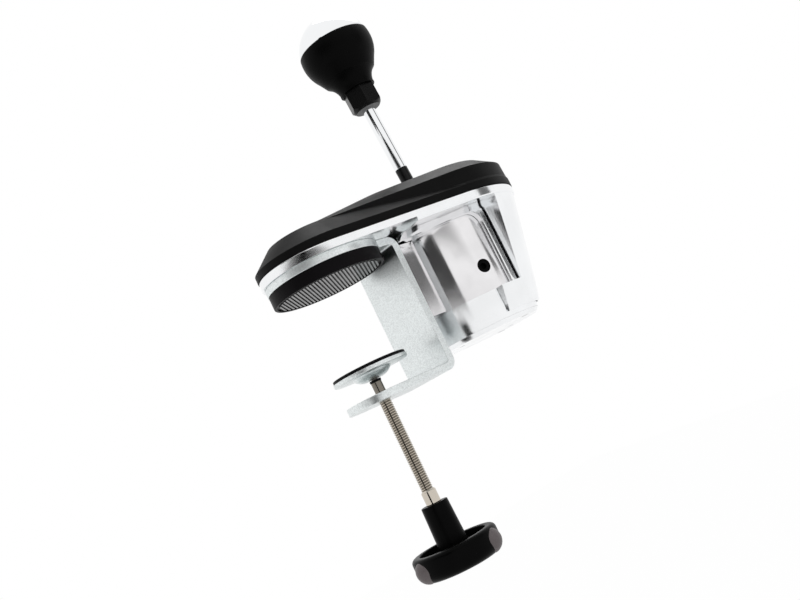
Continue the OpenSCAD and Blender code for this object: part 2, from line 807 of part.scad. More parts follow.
module sensor_board() {
    color("#1f6b3a") difference() {
        translate([body_x - board_w / 2, board_y, pivot_z - board_h / 2]) cube([board_w, board_t, board_h]);
        for (s = [-1, 1]) translate([body_x + s * board_screw_x, board_y - eps, pivot_z + board_screw_up])
            rotate([-90, 0, 0]) cylinder(d = board_screw_d + 2 * run_gap, h = 2 * board_t);
    }
}

module board_screws() {
    color("#8a8a8c") for (s = [-1, 1])
        translate([body_x + s * board_screw_x, board_y - board_head_h, pivot_z + board_screw_up])
        rotate([-90, 0, 0])
        screw(board_screw_d, board_head_h + board_t + board_bite, board_head_d, board_head_h);
}

module hall_chip() {
    color("#111112") translate([pivot_x - chip_w / 2, board_y - chip_t, pivot_z - chip_w / 2])
        cube([chip_w, chip_t, chip_w]);
}

// Two fixed pins that the gimbal ring turns on
module select_pins() {
    color("#8f9294") for (s = [-1, 1]) translate([pivot_x + s * (ring_in + face_gap), 0, pivot_z])
        rotate([0, s * 90, 0]) cylinder(d = pin_d, h = ring_wall - face_gap + pin_end + pin_depth);
}

module gimbal_ring() {
    color("#7d8082") translate([pivot_x, 0, pivot_z]) difference() {
        cylinder(r = ring_r, h = ring_h, center = true);
        cylinder(r = ring_in, h = ring_h + 1, center = true);
        for (a = [0, 90]) rotate([90, 0, a])
            cylinder(d = pin_d + 2 * run_gap, h = 3 * ring_r, center = true);
    }
}

module centring_springs() {
    length = pivot_z - ring_h / 2 - base_z;
    color("#9a9da0") for (s = [-1, 1]) translate([pivot_x, s * spring_y, base_z]) difference() {
        cylinder(d = spring_d, h = length);
        translate([0, 0, -eps]) cylinder(d = spring_d - 2 * spring_wall, h = length + 2 * eps);
    }
}

module pivot_ball() {
    color("#cfd1d2") on_stick() difference() {
        sphere(r = pivot_ball_r);
        translate([0, 0, stick_root]) cylinder(d = stick_low_d + 2 * press_gap, h = pivot_ball_d);
        rotate([90, 0, 0]) cylinder(d = pin_d + 2 * press_gap, h = 2 * pivot_ball_d, center = true);
    }
}

module cross_pin() {
    color("#8f9294") translate([pivot_x, 0, pivot_z]) rotate([90, 0, 0])
        cylinder(d = pin_d, h = 2 * (ring_r + pin_end), center = true);
}

module sensor_magnet() {
    color("#5b5d5f") translate([pivot_x, ring_r + pin_end, pivot_z]) rotate([-90, 0, 0])
        cylinder(d = pin_d, h = magnet_t);
}

// Stick: a thinner part in the ball and the bush, and the round bar up into the knob
module gear_stick() {
    color("#dfe2e4") on_stick() {
        translate([0, 0, stick_root]) cylinder(d = stick_low_d, h = arm + bush_up - stick_root + eps);
        translate([0, 0, arm + bush_up]) cylinder(d = stick_d, h = stick_l + insert_l - arm - bush_up);
    }
}

module stick_bush() {
    color("#141415") on_stick() translate([0, 0, arm - bush_down]) difference() {
        cylinder(d = bush_d, h = bush_down + bush_up);
        translate([0, 0, -eps]) cylinder(d = stick_low_d + 2 * press_gap, h = bush_down + bush_up + 1);
    }
}

// Hexagonal collar under the knob, chamfered all round at its lower end
module knob_collar() {
    color("#2d2d30") on_stick() translate([0, 0, stick_l - collar_l]) difference() {
        intersection() {
            cylinder(d = collar_d, h = collar_l, $fn = 6);
            rotate_extrude() polygon([
                [0, 0],
                [collar_d / 2 - collar_chamfer, 0],
                [collar_d / 2, collar_chamfer],
                [collar_d / 2, collar_l],
                [0, collar_l]]);
        }
        translate([0, 0, -eps]) cylinder(d = stick_d + 2 * press_gap, h = collar_l + 1);
    }
}

module knob_insert() {
    color("#b08d3c") on_stick() translate([0, 0, stick_l]) difference() {
        cylinder(d = insert_d, h = insert_l);
        translate([0, 0, -eps]) cylinder(d = stick_d + 2 * press_gap, h = insert_l + 1);
    }
}

// Knob: a bulb that narrows in a hollow curve to a small rim at the neck
module knob_grip() {
    color("#19191b") on_stick() translate([0, 0, stick_l]) difference() {
        rotate_extrude() {
            intersection() {
                translate([knob_r - bulb_arc, knob_mid]) circle(r = bulb_arc, $fn = 4 * $fn);
                translate([0, bulb_h - weld]) square([2 * knob_r, knob_mid - bulb_h + weld]);
            }
            intersection() {
                translate([0, knob_mid - weld]) square([2 * knob_r, cap_rise + weld]);
                translate([0, knob_mid]) circle(r = knob_r, $fn = 4 * $fn);
            }
            difference() {
                polygon([
                    [0, 0],
                    [neck_r + neck_rim, 0],
                    [neck_r + neck_rim, neck_rim_h],
                    [bulb_r, bulb_h],
                    [0, bulb_h]]);
                intersection() {
                    translate([neck_r + knob_waist, 0]) circle(r = knob_waist, $fn = 4 * $fn);
                    translate([0, neck_rim_h]) square([2 * knob_r, bulb_h]);
                }
            }
        }
        translate([0, 0, -eps]) cylinder(d = insert_d + 2 * press_gap, h = insert_l + face_gap);
    }
}

module knob_cap() {
    color("#e9ebec") on_stick() translate([0, 0, stick_l]) rotate_extrude() intersection() {
        translate([0, knob_mid]) difference() {
            circle(r = knob_r, $fn = 4 * $fn);
            circle(r = knob_r - cap_t, $fn = 4 * $fn);
        }
        translate([0, cap_h]) square([2 * knob_r, knob_d]);
    }
}

// Spring-loaded plunger whose round tip follows the ball
module detent_plunger() {
    tip_z = pivot_z - pivot_ball_r - face_gap;
    r = plunger_d / 2;
    color("#a5a8aa") translate([pivot_x, 0, tip_z]) {
        translate([0, 0, -plunger_l]) cylinder(r = r, h = plunger_l - r);
        intersection() {
            translate([0, 0, -r]) sphere(r = r);
            translate([-r, -r, -r]) cube([plunger_d, plunger_d, plunger_d]);
        }
    }
}

module detent_spring() {
    bottom = floor_z + detent_floor;
    color("#9a9da0") translate([pivot_x, 0, bottom])
        cylinder(d = detent_spring_d, h = pivot_z - pivot_ball_r - face_gap - plunger_l - bottom);
}

// Shoe that rubs on the ball, so that the stick moves against a set resistance
module friction_shoe() {
    length = guide_start + shoe_flange_in - shoe_reach;
    color("#3c3f42") difference() {
        on_adjuster() translate([0, 0, shoe_reach - weld]) {
            cylinder(d = shoe_d, h = length + weld + shoe_flange_t);
            translate([0, 0, length + weld]) cylinder(d = adjuster_d, h = shoe_flange_t);
        }
        translate([pivot_x, 0, pivot_z]) sphere(r = pivot_ball_r + face_gap);
    }
}

module adjuster_spring() {
    start = guide_start + shoe_flange_in + shoe_flange_t;
    color("#9a9da0") on_adjuster() translate([0, 0, start]) difference() {
        cylinder(d = adjuster_d - 2 * coil_gap, h = adjuster_start - start);
        translate([0, 0, -eps]) cylinder(d = adjuster_d - 2 * coil_gap - 2 * coil_wall, h = barrel_r);
    }
}

module adjuster_screw() {
    color("#0d0d0e") on_adjuster() translate([0, 0, adjuster_start]) difference() {
        cylinder(d = adjuster_d, h = adjuster_l);
        translate([0, 0, adjuster_l - adjuster_hex_depth])
            cylinder(d = adjuster_hex, h = adjuster_l, $fn = 6);
    }
}

// Side profile of the strap: a top leg, an upright with round bends, and a lower leg
module strap_profile() {
    out_r = bend_r + strap_t;
    difference() {
        union() {
            translate([0, pad_t]) square([strap_back, strap_t]);
            translate([strap_x, flange_z - strap_t]) square([strap_t, seat_z - flange_z + strap_t]);
            translate([0, flange_z - strap_t]) square([strap_back, strap_t]);
            difference() {
                translate([strap_x - bend_r, flange_z]) square([bend_r, pad_t - flange_z]);
                for (y = [flange_z + bend_r, pad_t - bend_r]) translate([strap_x - bend_r, y]) circle(bend_r);
                translate([strap_x - 2 * bend_r, flange_z + bend_r])
                    square([2 * bend_r, pad_t - flange_z - 2 * bend_r]);
            }
        }
        for (top = [false, true]) difference() {
            corner = top ? seat_z : flange_z - strap_t;
            inner = top ? seat_z - out_r : flange_z - strap_t + out_r;
            translate([strap_back - out_r, min(corner, inner)]) square([out_r + eps, out_r + eps]);
            translate([strap_back - out_r, inner]) circle(out_r);
        }
    }
}

// Zinc-plated strap: a round seat under the tail, the upright, and a flange for the screw
module clamp_bracket() {
    color("#c3cacb") difference() {
        union() {
            translate([0, strap_w / 2, 0]) rotate([90, 0, 0]) linear_extrude(strap_w) strap_profile();
            translate([0, 0, pad_t]) cylinder(r = pad_r + seat_out, h = strap_t);
            translate([0, 0, flange_z - strap_t]) cylinder(d = strap_w, h = strap_t);
        }
        translate([0, 0, flange_z - 2 * strap_t]) cylinder(d = screw_d + 2 * run_gap, h = 3 * strap_t);
        around(0, pad_screw_r, pad_angles) translate([0, 0, pad_t - eps]) {
            cylinder(d = pad_screw_d + 2 * run_gap, h = strap_t + weld);
            cylinder(d = pad_head_d + 2 * run_gap, h = pad_head_h + eps);
        }
    }
}

module bracket_screws() {
    color("#6a6a6c") around(0, pad_screw_r, pad_angles) translate([0, 0, pad_t])
        screw(pad_screw_d, strap_t + tray_t + screw_bite - tap_room, pad_head_d, pad_head_h);
}

// Rubber pad with straight ribs inside a plain border; one rib's crest crosses the origin
module upper_pad() {
    field_r = pad_r - pad_border;
    count = floor(field_r / rib_pitch);
    color("#1c1b1e") difference() {
        cylinder(r = pad_r, h = pad_t);
        translate([0, 0, -eps]) linear_extrude(rib_depth + eps) intersection() {
            circle(field_r);
            rotate(rib_angle) for (i = [-count:count - 1])
                translate([-field_r, i * rib_pitch + rib_w / 2]) square([2 * field_r, rib_pitch - rib_w]);
        }
    }
}

// Swivel foot: a steel disc with a dome that is closed round the screw's ball
module foot_plate() {
    mouth_r = neck_d / 2 + (ball_z - neck_z) * tan(foot_tilt) + face_gap;
    dome = [for (i = [0:dome_steps]) let (a = dome_angle * (1 - i / dome_steps))
        [(boss_end_d + (boss_d - boss_end_d) * sin(a) / sin(dome_angle)) / 2,
            boss_z - boss_h * (cos(a) - cos(dome_angle)) / (1 - cos(dome_angle))]];
    color("#cdd3d4") difference() {
        rotate_extrude() polygon(concat(
            [[0, foot_plate_z], [foot_d / 2, foot_plate_z], [foot_d / 2, boss_z]],
            dome,
            [[0, neck_z]]));
        translate([0, 0, ball_z]) sphere(d = ball_d + 2 * face_gap);
        translate([0, 0, neck_z - 1]) cylinder(r = mouth_r, h = ball_z - neck_z);
    }
}

module foot_pad() {
    color("#171718") translate([0, 0, foot_plate_z]) cylinder(d = foot_d - 2 * foot_edge, h = foot_pad_t);
}

// Washer on the screw's neck that carries the foot down with the screw
module foot_ring() {
    color("#161617") translate([0, 0, ring_z]) difference() {
        cylinder(d = ring_d, h = ring_t);
        translate([0, 0, -eps]) cylinder(d = neck_d + 2 * run_gap, h = ring_t + 2 * eps);
    }
}

// Clamp screw: a ball end, a neck, a plain part, the thread, a shoulder and a shank in the handle
module clamp_screw() {
    r = screw_d / 2;
    turns = floor(thread_l / thread_pitch);
    start = thread_top - (thread_l - turns * thread_pitch);
    thread = [for (i = [0:turns - 1], s = [0, 0.5])
        [s == 0 ? r : r - thread_depth, start - (i + s) * thread_pitch]];
    color("#b9b3a6") {
        translate([0, 0, ball_z]) sphere(d = ball_d);
        translate([0, 0, ring_z - eps]) cylinder(d = neck_d, h = ball_z - ring_z);
        rotate_extrude() polygon(concat(
            [[0, ring_z], [plain_d / 2, ring_z], [plain_d / 2, thread_top]],
            thread,
            [[r, thread_end], [0, thread_end]]));
        translate([0, 0, stem_z]) cylinder(d = shoulder_d, h = shoulder_l);
        translate([0, 0, shank_end]) cylinder(r = r, h = stem_z - shank_end + eps);
    }
}

// Moulded handle: a tapered stem in a hollow three-lobed grip
module clamp_handle() {
    lobe_d = grip_h;
    insert = screw_d + 2 * insert_wall;
    color("#151516") difference() {
        union() {
            difference() {
                union() {
                    rotate_extrude() grip_profile();
                    around(0, grip_r + lobe_out - lobe_d / 2, [55, 175, 295])
                        translate([0, 0, handle_z + grip_h / 2]) sphere(d = lobe_d);
                }
                translate([0, 0, handle_z + grip_floor]) cylinder(r = grip_r - grip_wall, h = grip_h);
            }
            translate([0, 0, handle_z + grip_floor - weld])
                cylinder(d = stem_base_d, h = grip_h - grip_floor + weld);
            translate([0, 0, grip_z - eps]) cylinder(d1 = stem_base_d, d2 = stem_d, h = stem_l + eps);
        }
        translate([0, 0, shank_end - face_gap])
            cylinder(d = insert + 2 * press_gap, h = stem_z - stem_cap - shank_end + face_gap);
        translate([0, 0, shank_end]) cylinder(d = screw_d + 2 * press_gap, h = stem_l + shoulder_l);
    }
}

// Section of the grip's wall and floor, with a round outer edge above and below
module grip_profile() {
    inner = grip_r - grip_wall;
    translate([0, handle_z]) square([inner, grip_floor]);
    translate([inner - weld, handle_z + grip_wall]) square([grip_wall + weld, grip_h - grip_wall - lip_r]);
    translate([inner - weld, handle_z]) square([weld + eps, grip_h]);
    translate([inner - eps, grip_z - lip_r]) square([grip_wall - lip_r + eps, lip_r]);
    translate([grip_r - lip_r, grip_z - lip_r]) circle(lip_r);
    intersection() {
        translate([inner, handle_z + grip_wall]) circle(grip_wall);
        translate([inner - eps, handle_z]) square([2 * grip_wall, 2 * grip_wall]);
    }
}

module handle_bush() {
    color("#b08d3c") translate([0, 0, shank_end]) difference() {
        cylinder(d = screw_d + 2 * insert_wall, h = stem_z - stem_cap - shank_end);
        translate([0, 0, -eps]) cylinder(d = screw_d + 2 * press_gap, h = stem_l + weld);
    }
}

top_cover();
cover_screws();
gate_plate();
gate_screws();
body_shell();
mechanism_housing();
housing_screws();
barrel_base();
base_cover();
base_screws();
cable_socket();
sensor_board();
board_screws();
hall_chip();
select_pins();
gimbal_ring();
centring_springs();
pivot_ball();
cross_pin();
sensor_magnet();
gear_stick();
stick_bush();
knob_collar();
knob_insert();
knob_grip();
knob_cap();
detent_plunger();
detent_spring();
friction_shoe();
adjuster_spring();
adjuster_screw();
clamp_bracket();
bracket_screws();
upper_pad();
foot_plate();
foot_pad();
foot_ring();
clamp_screw();
clamp_handle();
handle_bush();
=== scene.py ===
"""Looks of a gear shifter with a desk clamp: its visible pieces, their finishes, and a plain white stage.

Sizes of pieces are millimetres in the part's own frame. Properties and the stage are in metres.
"""

import json
import math

import bpy
from mathutils import Matrix, Vector


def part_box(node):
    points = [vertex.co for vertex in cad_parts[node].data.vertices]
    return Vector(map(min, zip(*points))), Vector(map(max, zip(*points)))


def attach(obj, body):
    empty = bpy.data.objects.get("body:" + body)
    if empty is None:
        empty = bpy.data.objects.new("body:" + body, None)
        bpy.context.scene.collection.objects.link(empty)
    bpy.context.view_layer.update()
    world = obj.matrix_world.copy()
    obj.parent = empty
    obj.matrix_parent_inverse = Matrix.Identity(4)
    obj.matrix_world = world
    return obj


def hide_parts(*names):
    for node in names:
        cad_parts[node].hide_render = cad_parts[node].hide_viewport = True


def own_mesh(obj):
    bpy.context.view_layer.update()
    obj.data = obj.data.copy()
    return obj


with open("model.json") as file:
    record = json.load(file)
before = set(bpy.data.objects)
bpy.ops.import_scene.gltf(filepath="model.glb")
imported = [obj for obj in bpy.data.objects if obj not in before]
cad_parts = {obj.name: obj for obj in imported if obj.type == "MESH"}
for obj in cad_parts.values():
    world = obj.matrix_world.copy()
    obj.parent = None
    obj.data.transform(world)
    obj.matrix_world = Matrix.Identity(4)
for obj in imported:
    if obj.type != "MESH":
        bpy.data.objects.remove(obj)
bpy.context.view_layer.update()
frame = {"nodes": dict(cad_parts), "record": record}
JOINTS = {joint["name"]: joint for joint in frame["record"]["behaviour"]["joints"]}
PIVOT = Vector(JOINTS["gear_shift"]["pos_m"])

bl_info = {
    "name": "Gear shifter",
    "version": (1, 0, 0),
    "blender": (4, 5, 0),
    "location": "View3D > Sidebar > Shifter",
    "description": "Models the visible pieces of a desk-clamp gear shifter and gives them their finishes",
    "category": "Object",
}

MM = 0.001
MERGE = 0.002 * MM
SLIVER = 0.001 * MM

# The body's circles and levels; the sloped rim is at RIM_Z where it passes RIM_X
BODY_X = 100.0
BODY_R = 60.5
TAIL_R = 40.0
SEAT_Z = 13.5
RIM_X = BODY_X + 35.0
RIM_Z = 17.0
CEILING_Z = 11.0
BARREL_Z = -45.0
BASE_Z = -65.0
SILL_Z = -62.0
STRAP_BACK = 45.5

# The clamp's levels
BALL_Z = -62.1
WASHER_Z = -66.9

# The camera's turn and tilt round the part and its roll, in degrees; its target and its distance, in mm
CAMERA_TURN, CAMERA_TILT, CAMERA_ROLL = -38.04, -7.36, -26.02
CAMERA_TARGET = (45.4, 0, -23.8)
CAMERA_DISTANCE = 625.85
SENSOR_WIDTH = 36.0
CLIP_START = 0.05

# Lamps: name, place, size, the property with the power, and whether polished surfaces show the lamp
LAMP_TARGET = (0.06, 0, 0)
LAMPS = (
    ("key_lamp", (0.58, 0.16, 1.0), 0.9, "key_power", True),
    ("fill_lamp", (0.35, -0.9, 0.35), 0.6, "fill_power", False),
)

# Cards: name, point that they stand round, bearing in degrees, width, heights, level in the middle, level
# at the sides, and distance from the point
CARDS = (
    ("dark_card", (0.07, -0.028), -165.5, 0.98, (0.05, 0.19), 0.05, 0.05, 1.0),
    ("tail_card", (0, 0), -142, 3.4, (0.19, 0.32), 0.0, 1.0, 1.0),
    ("stick_card", (0.07, -0.028), -165.5, 0.98, (0.32, 0.60), 0.01, 0.01, 1.0),
    ("low_card", (0, 0), -146, 0.055, (-0.175, -0.05), 0.0, 0.0, 0.15),
    ("grey_card", (0.07, -0.03), -46, 0.32, (0.075, 0.60), 0.13, 0.13, 1.0),
)

FLOOR_SIZE = 8
FLOOR_GREY = 0.9
FLOOR_GLOW = 0.985

# Sockets of a Mix node that mixes colours
MIX_FACTOR, MIX_A, MIX_B, MIX_RESULT = 0, 6, 7, 2
COAT_ROUGHNESS = 0.1

# Finishes. A light colour that is a name is one of ShifterColours, and its dark colour is a share of it.
# Roughness is that of the light and of the dark places.
FINISHES = {
    "cover_plastic": dict(
        light="cover", dark=0.8, rough=(0.48, 0.54), grain=1400, bump=0.005, patch=70, specular=0.08
    ),
    "gate_steel": dict(
        light=(0.80, 0.81, 0.82), dark=(0.74, 0.75, 0.76), rough=(0.20, 0.28), metallic=1.0, grain=1200,
        stretch=(1, 0.02, 1), bump=0.004,
    ),
    "shell_metal": dict(
        light="shell", dark=0.96, rough=(0.12, 0.17), metallic=1.0, grain=300, bump=0.002, patch=50
    ),
    "barrel_metal": dict(
        light="barrel", dark=0.93, rough=(0.09, 0.14), metallic=1.0, grain=1500,
        stretch=(0.02, 0.02, 1), bump=0.002,
    ),
    "zinc_steel": dict(
        light="zinc", dark=0.80, rough=(0.30, 0.42), metallic=1.0, bump=0.003, spangle=1700
    ),
    "pad_rubber": dict(
        light="rubber", dark=0.75, rough=(0.42, 0.50), grain=2200, bump=0.003, patch=90, specular=0.06
    ),
    "pad_ribs": dict(
        light="rubber", dark=0.75, rough=(0.22, 0.28), grain=2200, bump=0.002, patch=90
    ),
    "foot_rubber": dict(
        light=(0.004, 0.004, 0.005), dark=(0.003, 0.003, 0.004), rough=(0.5, 0.6), grain=2200, bump=0.01,
        specular=0.1,
    ),
    # Below the groove radii in mm the screw takes its dark colour: partly dirt in the thread roots, partly
    # painted shade in the roots and on the plain neck.
    "thread_steel": dict(
        light="thread", dark=0.2, rough=(0.10, 0.20), metallic=1.0, grain=1200, bump=0.002,
        groove=(3.4, 3.95),
    ),
    "handle_plastic": dict(
        light="handle", dark=0.8, rough=(0.30, 0.36), grain=1500, bump=0.003, specular=0.04
    ),
    # The lobes are the handle's own black moulding; their lighter colour and stronger specular are painted
    # sheen.
    "handle_lobes": dict(
        light="lobes", dark=0.85, rough=(0.42, 0.50), grain=1500, bump=0.006, specular=0.4
    ),
    "knob_plastic": dict(
        light="knob", dark=0.8, rough=(0.36, 0.42), grain=2600, bump=0.006, specular=0.04
    ),
    "knob_chrome": dict(
        light="chrome", dark=0.98, rough=(0.03, 0.06), metallic=1.0, grain=200, bump=0.001, patch=40
    ),
    "stick_chrome": dict(
        light="chrome", dark=0.97, rough=(0.06, 0.10), metallic=1.0, stretch=(1, 1, 0.05), bump=0.001
    ),
    "collar_metal": dict(
        light=(0.005, 0.005, 0.005), dark=(0.004, 0.004, 0.004), rough=(0.24, 0.30), grain=1800,
        bump=0.003, specular=0.15,
    ),
    "bush_plastic": dict(
        light=(0.003, 0.003, 0.003), dark=(0.002, 0.002, 0.002), rough=(0.26, 0.32), grain=1500,
        bump=0.003, specular=0.2,
    ),
    "brass_insert": dict(
        light=(0.69, 0.55, 0.24), dark=(0.60, 0.46, 0.20), rough=(0.25, 0.35), metallic=1.0,
        stretch=(1, 1, 0.05), bump=0.004,
    ),
    "fixing_steel": dict(
        light=(0.42, 0.42, 0.43), dark=(0.34, 0.34, 0.35), rough=(0.30, 0.40), metallic=1.0, grain=1400,
        bump=0.004, patch=300,
    ),
    "pin_steel": dict(
        light=(0.58, 0.59, 0.60), dark=(0.50, 0.51, 0.52), rough=(0.20, 0.28), metallic=1.0, grain=1200,
        bump=0.003, patch=200,
    ),
    "spring_steel": dict(
        light=(0.60, 0.61, 0.62), dark=(0.52, 0.53, 0.54), rough=(0.22, 0.30), metallic=1.0, grain=1200,
        stretch=(1, 1, 8), bump=0.01,
    ),
    "board_laminate": dict(
        light=(0.05, 0.30, 0.14), dark=(0.04, 0.24, 0.11), rough=(0.25, 0.32), grain=1200, bump=0.006,
        coat=0.3,
    ),
    "chip_black": dict(
        light=(0.012, 0.012, 0.012), dark=(0.009, 0.009, 0.009), rough=(0.50, 0.58), grain=3000,
        bump=0.006,
    ),
    "magnet_dark": dict(
        light=(0.30, 0.31, 0.32), dark=(0.24, 0.25, 0.26), rough=(0.35, 0.45), metallic=1.0, grain=1800,
        bump=0.006, patch=300,
    ),
    "socket_plastic": dict(
        light=(0.015, 0.015, 0.016), dark=(0.011, 0.011, 0.012), rough=(0.30, 0.38), grain=1800,
        bump=0.006,
    ),
    "adjuster_black": dict(
        light=(0.002, 0.002, 0.002), dark=(0.001, 0.001, 0.001), rough=(0.50, 0.60), grain=1800,
        bump=0.008, specular=0.05,
    ),
}


# Properties


def number(name, description, default, **more):
    """A number that a user may change."""
    return bpy.props.FloatProperty(name=name, description=description, default=default, **more)


def length(name, description, default):
    """A size in metres that a user may change."""
    return number(name, description, default, min=0.0, unit="LENGTH", precision=5)


def colour(name, description, default):
    """A linear colour that a user may change."""
    return bpy.props.FloatVectorProperty(
        name=name, description=description, default=default, min=0.0, max=1.0, size=3, subtype="COLOR"
    )


class ShifterShape(bpy.types.PropertyGroup):
    """Sizes of edges and details."""

    cover_edge: length("Cover edges", "Rounding of the cover's edges", 0.0009)
    shell_edge: length("Shell rim", "Rounding of the shell's rim", 0.001)
    lip_nose: length("Lip nose", "Rounding of the lip round the window", 0.0014)
    lip_corner: length("Lip corner", "Radius of the lip's upper corner", 0.009)
    strap_edge: length("Strap edges", "Rounding of the strap's edges", 0.0005)
    rib_edge: length("Rib edges", "Rounding of the pad's ribs", 0.0002)
    thread_pitch: length("Thread pitch", "Spacing of the clamp screw's turns", 0.0015)
    thread_depth: length("Thread depth", "Depth of the clamp screw's thread", 0.0005)
    rim_slope: number(
        "Rim slope", "Slope of the shell's rim, up towards the tail", math.radians(0.8), subtype="ANGLE"
    )
    lean: number("Lean", "Lean of the stick at rest", math.radians(3), subtype="ANGLE")


class ShifterColours(bpy.types.PropertyGroup):
    """Colours of the main finishes."""

    cover: colour("Cover", "Moulded cover", (0.004, 0.004, 0.004))
    shell: colour("Shell", "Polished casting", (0.90, 0.91, 0.92))
    barrel: colour("Barrel", "Brushed barrel", (0.84, 0.83, 0.84))
    zinc: colour("Zinc", "Plated strap and foot", (0.87, 0.91, 0.91))
    rubber: colour("Rubber", "Ribbed pad", (0.005, 0.004, 0.005))
    handle: colour("Handle", "Moulded handle", (0.002, 0.002, 0.002))
    # The lobes' colour is painted sheen on the handle's black moulding.
    lobes: colour("Lobes", "Lobes of the handle", (0.150, 0.128, 0.130))
    knob: colour("Knob", "Moulded knob", (0.002, 0.002, 0.002))
    chrome: colour("Chrome", "Plated knob cap and stick", (0.90, 0.91, 0.92))
    thread: colour("Thread", "Plated clamp screw", (0.58, 0.53, 0.46))


class ShifterStage(bpy.types.PropertyGroup):
    """Camera and light."""

    focal_length: number("Lens", "Focal length of the camera in millimetres", 42.94, unit="CAMERA")
    key_power: number("Key", "Power of the lamp above and behind", 9.0, subtype="POWER")
    fill_power: number("Fill", "Power of the lamp beside the camera", 1.0, subtype="POWER")
    world_level: number("Room", "Level of the light from all around", 0.55, min=0.0)
    floor_height: number("Floor", "Height of the floor", -0.75, unit="LENGTH")


# Modelling


def deselect():
    """Leaves edit mode with nothing selected."""
    if bpy.context.mode != "OBJECT":
        bpy.ops.object.mode_set(mode="OBJECT")
    bpy.ops.object.select_all(action="DESELECT")


def activate(obj):
    """Makes one object the selected and active one."""
    deselect()
    obj.select_set(True)
    bpy.context.view_layer.objects.active = obj


def named(name):
    """Names the object that an operator has just added."""
    obj = bpy.context.object
    obj.name = obj.data.name = name
    return obj


def settle(obj):
    """Puts an object's place, turn and scale into its mesh."""
    activate(obj)
    bpy.ops.object.transform_apply(location=True, rotation=True, scale=True)
    return obj


def soften(corners, parts=5):
    """Points of an outline whose corners (r, z, radius) are rounded."""
    points = []
    for i, corner in enumerate(corners):
        here = Vector(corner[:2])
        radius = corner[2] if len(corner) > 2 else 0
        if not radius:
            points.append(here)
            continue
        back = (Vector(corners[i - 1][:2]) - here).normalized()
        on = (Vector(corners[(i + 1) % len(corners)][:2]) - here).normalized()
        half = back.angle(on) / 2
        centre = here + (back + on).normalized() * radius / math.sin(half)
        start = here + back * radius / math.tan(half) - centre
        end = here + on * radius / math.tan(half) - centre
        sweep = start.angle(end)
        for k in range(parts + 1):
            t = k / parts
            points.append(
                centre + (start * math.sin((1 - t) * sweep) + end * math.sin(t * sweep)) / math.sin(sweep)
            )
    return points


def arc(x, z, radius, start, end, parts=16):
    """Points of an arc in an outline, by its angles in degrees."""
    angles = [math.radians(start + (end - start) * k / parts) for k in range(parts + 1)]
    return [Vector((x + radius * math.cos(a), z + radius * math.sin(a))) for a in angles]


def band(inner, outer, low, high):
    """Corners of an upright oblong in an outline."""
    return [(inner, low), (outer, low), (outer, high), (inner, high)]


def draw(name, points):
    """Starts a mesh as a chain of edges through points."""
    deselect()
    bpy.ops.mesh.primitive_plane_add(size=MM)
    obj = named(name)
    bpy.ops.object.mode_set(mode="EDIT")
    bpy.ops.mesh.select_all(action="SELECT")
    bpy.ops.mesh.merge(type="CENTER")
    here = Vector((0, 0, 0))
    for i, point in enumerate(points):
        step = (point - here) * MM
        if i:
            bpy.ops.mesh.extrude_region_move(TRANSFORM_OT_translate={"value": step})
        else:
            bpy.ops.transform.translate(value=step)
        here = point
    return obj


def close(fill=False):
    """Merges what meets in the mesh being edited, fills its open ends and turns its faces outwards."""
    bpy.ops.mesh.select_all(action="SELECT")
    bpy.ops.mesh.remove_doubles(threshold=MERGE)
    bpy.ops.mesh.dissolve_degenerate(threshold=SLIVER)
    if fill:
        bpy.ops.mesh.select_mode(type="EDGE")
        bpy.ops.mesh.select_all(action="DESELECT")
        bpy.ops.mesh.select_non_manifold()
        bpy.ops.mesh.fill_holes(sides=0)
        bpy.ops.mesh.select_mode(type="VERT")
        bpy.ops.mesh.select_all(action="SELECT")
    bpy.ops.mesh.normals_make_consistent(inside=False)
    bpy.ops.object.mode_set(mode="OBJECT")


def lathe(name, outline, x=0.0, ring=False, steps=96):
    """Turns an outline of (r, z) about an upright axis; a ring's outline goes back to its start."""
    points = [Vector((x + p[0], 0, p[1])) for p in outline]
    obj = draw(name, points + points[:1] if ring else points)
    bpy.ops.mesh.select_all(action="SELECT")
    bpy.ops.mesh.spin(steps=steps, angle=math.tau, center=(x * MM, 0, 0), axis=(0, 0, 1))
    close()
    return obj


def swept(name, outline, x, start, end, steps):
    """Turns a closed outline of (r, z) part of the way round an upright axis, by angles in degrees."""
    turn = Matrix.Rotation(math.radians(start), 3, "Z")
    middle = Vector((x, 0, 0))
    points = [middle + turn @ Vector((p[0], 0, p[1])) for p in outline]
    obj = draw(name, points + points[:1])
    bpy.ops.mesh.select_all(action="SELECT")
    bpy.ops.mesh.spin(
        steps=steps, angle=-math.radians(end - start), center=(x * MM, 0, 0), axis=(0, 0, 1)
    )
    close(fill=True)
    return obj


def stretch_skin(flat=0.4):
    """Stretches a skin round the mesh being edited, and merges its triangles where it is flat."""
    bpy.ops.mesh.select_all(action="SELECT")
    bpy.ops.mesh.convex_hull()
    bpy.ops.mesh.select_all(action="SELECT")
    bpy.ops.mesh.dissolve_limited(angle_limit=math.radians(flat))
    close()


def hull(name, discs, count=128):
    """Skin stretched round level discs (x, radius, z)."""
    deselect()
    for i, (x, radius, z) in enumerate(discs):
        bpy.ops.mesh.primitive_circle_add(
            vertices=count, radius=radius * MM, location=(x * MM, 0, z * MM)
        )
        if not i:
            obj = named(name)
            bpy.ops.object.mode_set(mode="EDIT")
    stretch_skin()
    return settle(obj)


def wedge(name, points):
    """Skin stretched round points."""
    obj = draw(name, [Vector(point) for point in points])
    stretch_skin()
    return obj


def block(name, low, high):
    """Box between two corners."""
    low, high = Vector(low) * MM, Vector(high) * MM
    deselect()
    bpy.ops.mesh.primitive_cube_add(size=1, location=(low + high) / 2)
    obj = named(name)
    obj.scale = high - low
    return settle(obj)


